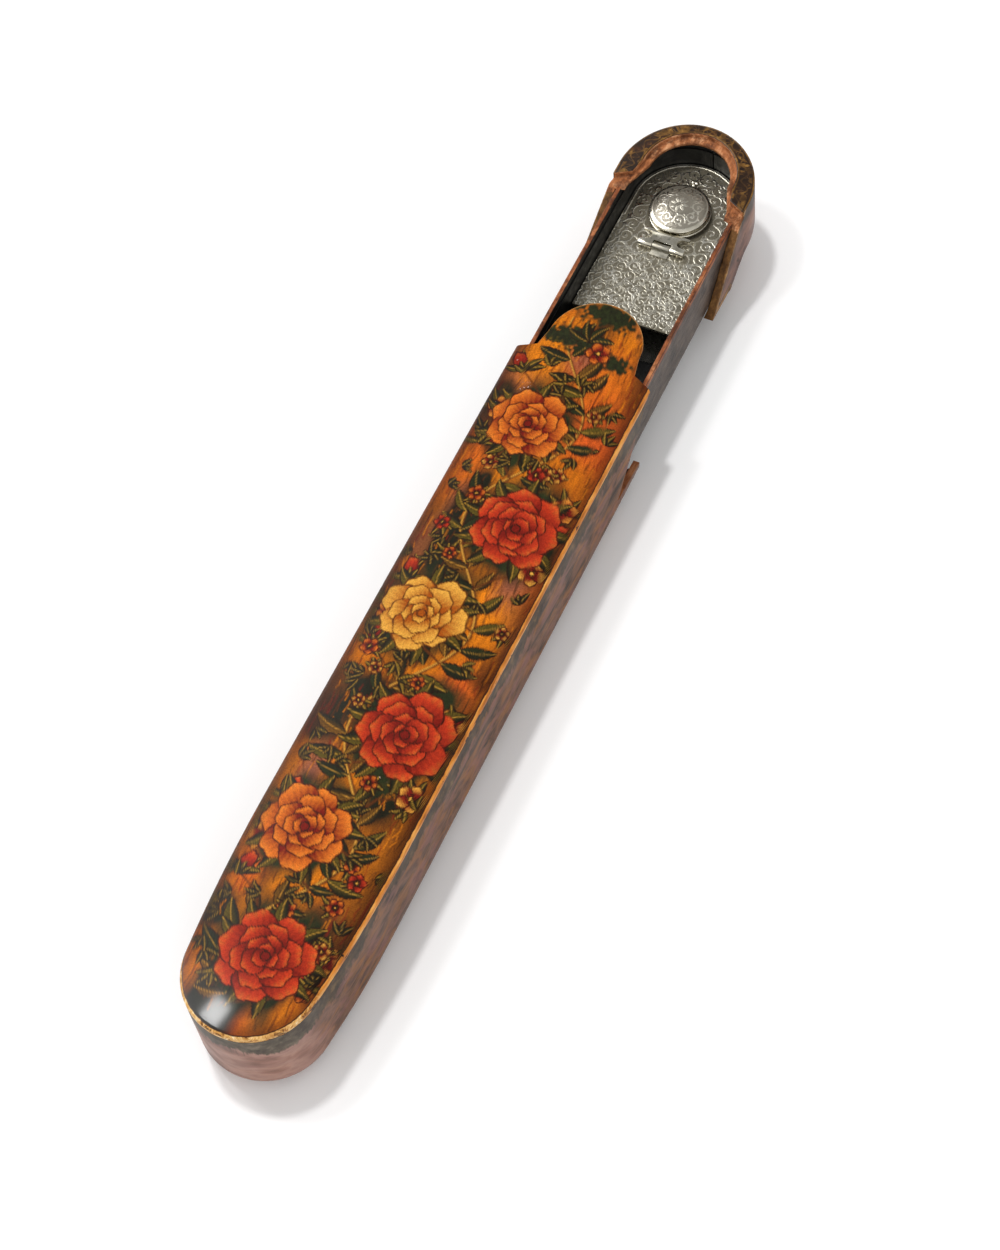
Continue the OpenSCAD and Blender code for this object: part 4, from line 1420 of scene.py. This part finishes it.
def head_side_finish():
    f = Finish("painted head")
    below = f.field("below")
    tone = f.noise(140, 5, 0.6, f.stretch(0.4, 1, 1))
    base = f.tones(tone, (0.3, 66, 48, 44), (0.46, 112, 80, 70), (0.58, 140, 100, 80), (0.74, 88, 62, 54))
    fleck = f.band(f.noise(300, 4, 0.6), 0.58, 0.68, 0.0, 0.8)
    base = f.mix(fleck, base, linear(42, 34, 30))
    dark = f.tones(f.noise(220, 4), (0.35, 30, 26, 22), (0.7, 70, 58, 44))
    hang = f.plus(below, f.sway(f.noise(90, 4), 9.0))
    base = f.mix(f.band(hang, 5.5, 3.0, 0.0, 0.85), base, dark)
    # Brown-gold border along the lappet, with a dark line inside it
    notch = f.field("from_notch")
    wobble = f.plus(notch, f.sway(f.noise(300, 3), 0.5))
    grain = f.noise(500, 4, 0.6, f.stretch(0.5, 1, 0.5))
    border = f.tones(grain, (0.3, 62, 40, 20), (0.55, 128, 90, 46), (0.75, 166, 124, 70))
    base = f.mix(f.band(wobble, 1.7, 1.5), base, border)
    base = f.mix(f.band(f.gap(wobble, 1.75), 0.25, 0.1), base, linear(34, 22, 14))
    f.set(Base_Color=base, Roughness=f.band(f.noise(60, 3), 0.3, 0.7, 0.36, 0.55))
    f.set(Specular_IOR_Level=0.15, Coat_Weight=0.05)
    f.set(Normal=f.bump(f.noise(420, 4), 0.2, 0.2))
    return f.material


def head_band_finish():
    """Gilt scrolls on a dark band along the head's rim."""
    f = Finish("gilt band on the rim")
    along = f.field("along")
    lip = f.field("from_lip")
    edge = f.field("from_edge")
    ground = f.tones(f.noise(240, 4), (0.3, 24, 15, 9), (0.6, 46, 28, 15), (0.8, 84, 46, 22))
    gold = f.tones(f.noise(600, 3), (0.3, 70, 46, 18), (0.55, 118, 82, 36), (0.75, 168, 124, 60))
    wobble = f.less(f.noise(200, 3), 0.5)
    middle = f.times(f.plus(lip, edge), 0.5)
    across = f.less(f.plus(lip, wobble), middle)
    wave = f.times(f.sum("SINE", f.times(along, 1.15)), f.times(middle, 0.42))
    stem = f.band(f.gap(across, wave), 0.34, 0.16)
    other = f.times(f.sum("SINE", f.sum("MULTIPLY_ADD", along, 2.3, 1.2)), f.times(middle, 0.5))
    leaf = f.times(f.band(f.gap(across, other), 0.3, 0.12), f.band(f.noise(520, 2), 0.4, 0.55))
    blot = f.noise(230, 3, 0.6, bend=1.2)
    inside = f.band(f.sum("ABSOLUTE", across), f.times(middle, 0.8), f.times(middle, 0.6))
    patch = f.times(f.band(blot, 0.53, 0.56), inside)
    drawn = f.most(f.times(f.most(stem, leaf), 0.6), f.times(patch, 0.95))
    lines = f.most(f.band(f.gap(lip, 0.45), 0.3, 0.15), f.band(edge, 0.5, 0.3))
    worn = f.band(f.noise(160, 4), 0.34, 0.5, 0.25, 0.95)
    colour = f.mix(f.times(f.most(drawn, lines), worn), ground, gold)
    f.set(Base_Color=colour, Roughness=0.42, Specular_IOR_Level=0.18, Coat_Weight=0.06, Coat_Roughness=0.2)
    f.set(Normal=f.bump(f.plus(f.noise(500, 3), drawn), 0.3, 0.15))
    return f.material


def silver_finish(name, rough, bright=1.0, ground=None):
    """Silver, plain with a patina or, where a ground is given, engraved and dark in its cuts."""
    f = Finish(name)
    cloud = f.noise(260, 5, 0.6)
    tones = ((0.3, linear(184, 178, 160)), (0.55, linear(212, 207, 192)), (0.75, linear(228, 225, 214)))
    colour = f.ramp(cloud, *((at, tuple(bright * c for c in tone)) for at, tone in tones))
    if ground:
        deep = f.field("relief")
        tarnish = f.band(deep, 0.55, 0.05, 0.0, 0.92)
        colour = f.mix(tarnish, colour, linear(*ground))
        f.set(Metallic=f.band(tarnish, 0.0, 1.0, 1.0, 0.45))
        matting = f.cells(2400)
        f.set(Normal=f.bump(f.times(matting, f.band(deep, 0.3, 0.0)), 0.5, 0.08))
    else:
        patina = f.band(f.noise(330, 4), 0.56, 0.7, 0.0, 0.55)
        colour = f.mix(patina, colour, linear(120, 120, 100))
        f.set(Normal=f.bump(f.noise(900, 3), 0.12, 0.05), Metallic=1.0)
    f.set(Base_Color=colour, Roughness=f.band(f.noise(420, 4), 0.3, 0.7, rough * 0.8, rough * 1.25))
    return f.material


def silk_finish():
    f = Finish("inked silk")
    strand = f.noise(1400, 4, 0.7, f.stretch(0.3, 1, 1))
    colour = f.tones(strand, (0.3, 10, 10, 12), (0.6, 30, 28, 30), (0.8, 58, 54, 52))
    f.set(Base_Color=colour, Roughness=0.6, Sheen_Weight=0.2, Normal=f.bump(strand, 0.6, 0.3))
    return f.material


# Assembly

TOP_PAINT = painted_top_finish()
WALL_PAINT = wall_finish()
CUT_EDGE = board_finish("bare cut edge", (86, 50, 30), (150, 92, 58), (196, 136, 92))
CASE_INSIDE = board_finish("dark inside of the case", (24, 17, 12), (48, 33, 22), (80, 54, 36))
COPPER_RIM = board_finish("red-brown rim", (54, 30, 20), (142, 80, 46), (204, 138, 92), 0.5, 0.7)
HEAD_LEDGE = board_finish("bare ledge", (72, 38, 22), (172, 108, 66), (230, 176, 130), 0.55, 0.75)
LAPPET_EDGE = board_finish("brown edge of the lappet", (50, 32, 18), (108, 74, 40), (152, 110, 62), 0.5)
TROUGH_SIDE = board_finish("slate side of the trough", (38, 31, 27), (74, 62, 54), (108, 92, 80), 0.45, 0.5)
LINING = lining_finish()
SILVER_WORK = silver_finish("engraved silver", 0.27, 1.0, (112, 105, 88))
SILVER_CAP = silver_finish("engraved cap", 0.29, 0.8, (124, 118, 106))
SILVER_PLAIN = silver_finish("plain silver", 0.28, 0.95)
SILVER_DULL = silver_finish("tarnished silver", 0.42, 0.55)
SILVER_BRIGHT = silver_finish("polished silver", 0.17)
SILK = silk_finish()
HEAD_FINISHES = [head_side_finish(), head_band_finish(), HEAD_LEDGE, LAPPET_EDGE]
COLLAR_SECTION = rounded_ring(MOUTH_R, COLLAR_R, COLLAR_LO[2], COLLAR_HI[2])
TUBE_SECTION = rounded_ring(FLANGE_R - SHEET_T, FLANGE_R, FLANGE_LO[2], FLANGE_HI[2])

place(make_sleeve_top(), "sleeve", "painted_lacquer", [TOP_PAINT, CUT_EDGE, CASE_INSIDE], "sleeve_shell")
place(make_sleeve_walls(), "sleeve", "painted_lacquer", [WALL_PAINT, CUT_EDGE, CASE_INSIDE])
place(make_trough(), "tray", "bare_papier_mache", [TROUGH_SIDE, COPPER_RIM, LINING], "tray_trough")
place(make_head(), "tray", "head_lacquer", HEAD_FINISHES, "tray_head")
place(dressed("tray_lining", "lining", 0), "tray", "black_lining", LINING, "tray_lining")
place(dressed("inkwell_box", "inkwell", 0.1), "tray", "silver", SILVER_PLAIN, "inkwell_box")
place(make_plate(), "tray", "silver", SILVER_WORK, "inkwell_plate")
place(lathe("collar", COLLAR_SECTION), "tray", "silver", SILVER_PLAIN, "mouth_collar")
place(dressed("hinge_leaf", "fixed_leaf", 0.1), "tray", "silver", SILVER_DULL, "hinge_leaf")
place(dressed("hinge_pin", "pin", 0.06), "tray", "silver", SILVER_PLAIN, "hinge_pin")
place(lathe("lid_ring", lid_side()), "lid", "polished_silver", SILVER_BRIGHT, "lid_step")
place(make_dome(), "lid", "silver", SILVER_CAP, "lid_dome")
place(lathe("lid_tube", TUBE_SECTION), "lid", "silver", SILVER_PLAIN, "lid_flange")
place(dressed("lid_strap", "strap", 0.12), "lid", "silver", SILVER_BRIGHT, "lid_strap")
place(make_thumbpiece(), "lid", "polished_silver", SILVER_BRIGHT, "lid_thumbpiece")
wad, threads = make_wad(SILK)
place(wad, "tray", "inked_silk", SILK, "ink_wadding")
place(threads, "tray", "inked_silk", SILK)


# Stage: white floor, soft light from the upper left, camera
# Places and distances here are in metres and angles in degrees.

FLOOR_HALF_MM = 3000
FLOOR_DROP = 0.0002
CENTRE = Vector((0.04, 0, 0.015))
NEAR_END = Vector((-0.088, 0.004, 0.03))
OVERHEAD = Vector((0, 0, 1))
CAMERA_AZIMUTH, CAMERA_ELEVATION, CAMERA_ROLL = -146.6, 58.3, -9.3
CAMERA_DISTANCE = 0.699
SENSOR_W = 36.0
LENS_PER_WIDTH = 2.757


def floor_finish():
    f = Finish("white floor")
    white = f.ramp(f.noise(3, 2), (0.3, (0.955, 0.955, 0.955)), (0.7, (0.97, 0.97, 0.97)))
    f.set(Base_Color=white, Roughness=0.9, Specular_IOR_Level=0.0)
    return f.material


def make_floor():
    corners = [(FLOOR_HALF_MM * x, FLOOR_HALF_MM * y, 0) for x, y in ((-1, -1), (1, -1), (1, 1), (-1, 1))]
    floor = new_piece("floor", corners, [(0, 1, 2, 3)])
    floor.data.materials.append(floor_finish())
    floor.location.z = CAD_BOX[0][2] - FLOOR_DROP


def look_axes(azimuth, elevation, roll):
    """Right, up and back of a camera that looks from an azimuth and an elevation."""
    az, el, ro = (math.radians(v) for v in (azimuth, elevation, roll))
    back = Vector((math.cos(el) * math.cos(az), math.cos(el) * math.sin(az), math.sin(el)))
    right = (-back).cross(OVERHEAD).normalized()
    up = right.cross(-back)
    return math.cos(ro) * right + math.sin(ro) * up, -math.sin(ro) * right + math.cos(ro) * up, back


def make_camera():
    data = bpy.data.cameras.new("camera")
    camera = add_object("camera", data)
    right, up, back = look_axes(CAMERA_AZIMUTH, CAMERA_ELEVATION, CAMERA_ROLL)
    spot = CENTRE + back * CAMERA_DISTANCE
    turn = Matrix((right, up, back)).transposed().to_4x4()
    camera.matrix_world = Matrix.Translation(spot) @ turn
    data.sensor_fit = "HORIZONTAL"
    data.sensor_width = SENSOR_W
    data.lens = SENSOR_W * LENS_PER_WIDTH
    data.shift_x = 0.012
    data.shift_y = -0.043
    data.clip_start = 0.01
    bpy.context.scene.camera = camera
    return right, up, back


def make_light(name, spot, target, size, power, shape="DISK", mirrored=True):
    data = bpy.data.lights.new(name, "AREA")
    data.shape = shape
    data.size = size
    data.energy = power
    lamp = add_object(name, data)
    lamp.visible_glossy = mirrored
    lamp.location = spot
    lamp.rotation_euler = (Vector(target) - Vector(spot)).to_track_quat("-Z", "Y").to_euler()


def make_world():
    """A grey room that lights the scene, another one for reflections, and white for the camera."""
    world = bpy.data.worlds.new("studio")
    world.use_nodes = True
    tree = world.node_tree
    tree.nodes.clear()
    path = tree.nodes.new("ShaderNodeLightPath")
    way = tree.nodes.new("ShaderNodeTexCoord").outputs["Generated"]

    def background(strength, colour):
        return add_node(tree, "ShaderNodeBackground", Strength=strength, Color=colour).outputs[0]

    def greys(value, *stops):
        return add_ramp(tree, value, *((at, (grey, grey, grey)) for at, grey in stops))

    def toward(direction):
        """How far a ray goes in a direction, from -1 to 1."""
        return add_math(tree, "ShaderNodeVectorMath", "DOT_PRODUCT", way, direction).outputs["Value"]

    def choose(ray, otherwise, chosen):
        n = tree.nodes.new("ShaderNodeMixShader")
        for socket, value in zip(n.inputs, (path.outputs[ray], otherwise, chosen)):
            feed(tree, socket, value)
        return n.outputs[0]

    height = add_node(tree, "ShaderNodeSeparateXYZ", Vector=way).outputs["Z"]
    room = background(1.0, greys(height, (0.0, 0.42), (1.0, 0.8)))
    # Reflections show a grey room with a darker card where the flat faces look
    card = greys(toward((-BACK.x, -BACK.y, BACK.z)), (0.72, 0.85), (0.95, 0.3))
    # A soft box to one side catches the slopes of the engraving
    slope = (0.9 * OVERHEAD - 0.4 * RIGHT - 0.15 * UP).normalized()
    mirrored_way = toward(tuple(2 * slope.dot(BACK) * slope - BACK))
    glow = add_node(tree, "ShaderNodeMapRange", Value=mirrored_way, From_Min=0.8, From_Max=0.93,
                    To_Min=0.0, To_Max=4.2)
    both = add_math(tree, "ShaderNodeVectorMath", "ADD", card, glow.outputs["Result"])
    gleam = background(1.15, both.outputs["Vector"])
    lit = choose("Is Glossy Ray", room, gleam)
    seen = choose("Is Camera Ray", lit, background(1.0, (1, 1, 1)))
    add_node(tree, "ShaderNodeOutputWorld", Surface=seen)
    bpy.context.scene.world = world


make_floor()
RIGHT, UP, BACK = make_camera()
make_world()
AHEAD = (UP - UP.dot(OVERHEAD) * OVERHEAD).normalized()
SIDEWAYS = (RIGHT - RIGHT.dot(OVERHEAD) * OVERHEAD).normalized()
KEY_SPOT = CENTRE + 1.7 * (0.98 * OVERHEAD - 0.14 * SIDEWAYS + 0.15 * AHEAD)
WINDOW_SPOT = NEAR_END + 0.92 * OVERHEAD - 0.29 * SIDEWAYS + 0.26 * AHEAD
FILL_SPOT = CENTRE + 0.9 * (0.5 * OVERHEAD + 0.35 * SIDEWAYS - 0.8 * AHEAD)
make_light("key", KEY_SPOT, CENTRE, 0.13, 10.0, mirrored=False)
make_light("window", WINDOW_SPOT, NEAR_END, 0.09, 1.5, shape="SQUARE")
make_light("front fill", FILL_SPOT, CENTRE, 0.7, 1.2)
bpy.context.scene.view_settings.view_transform = "Standard"
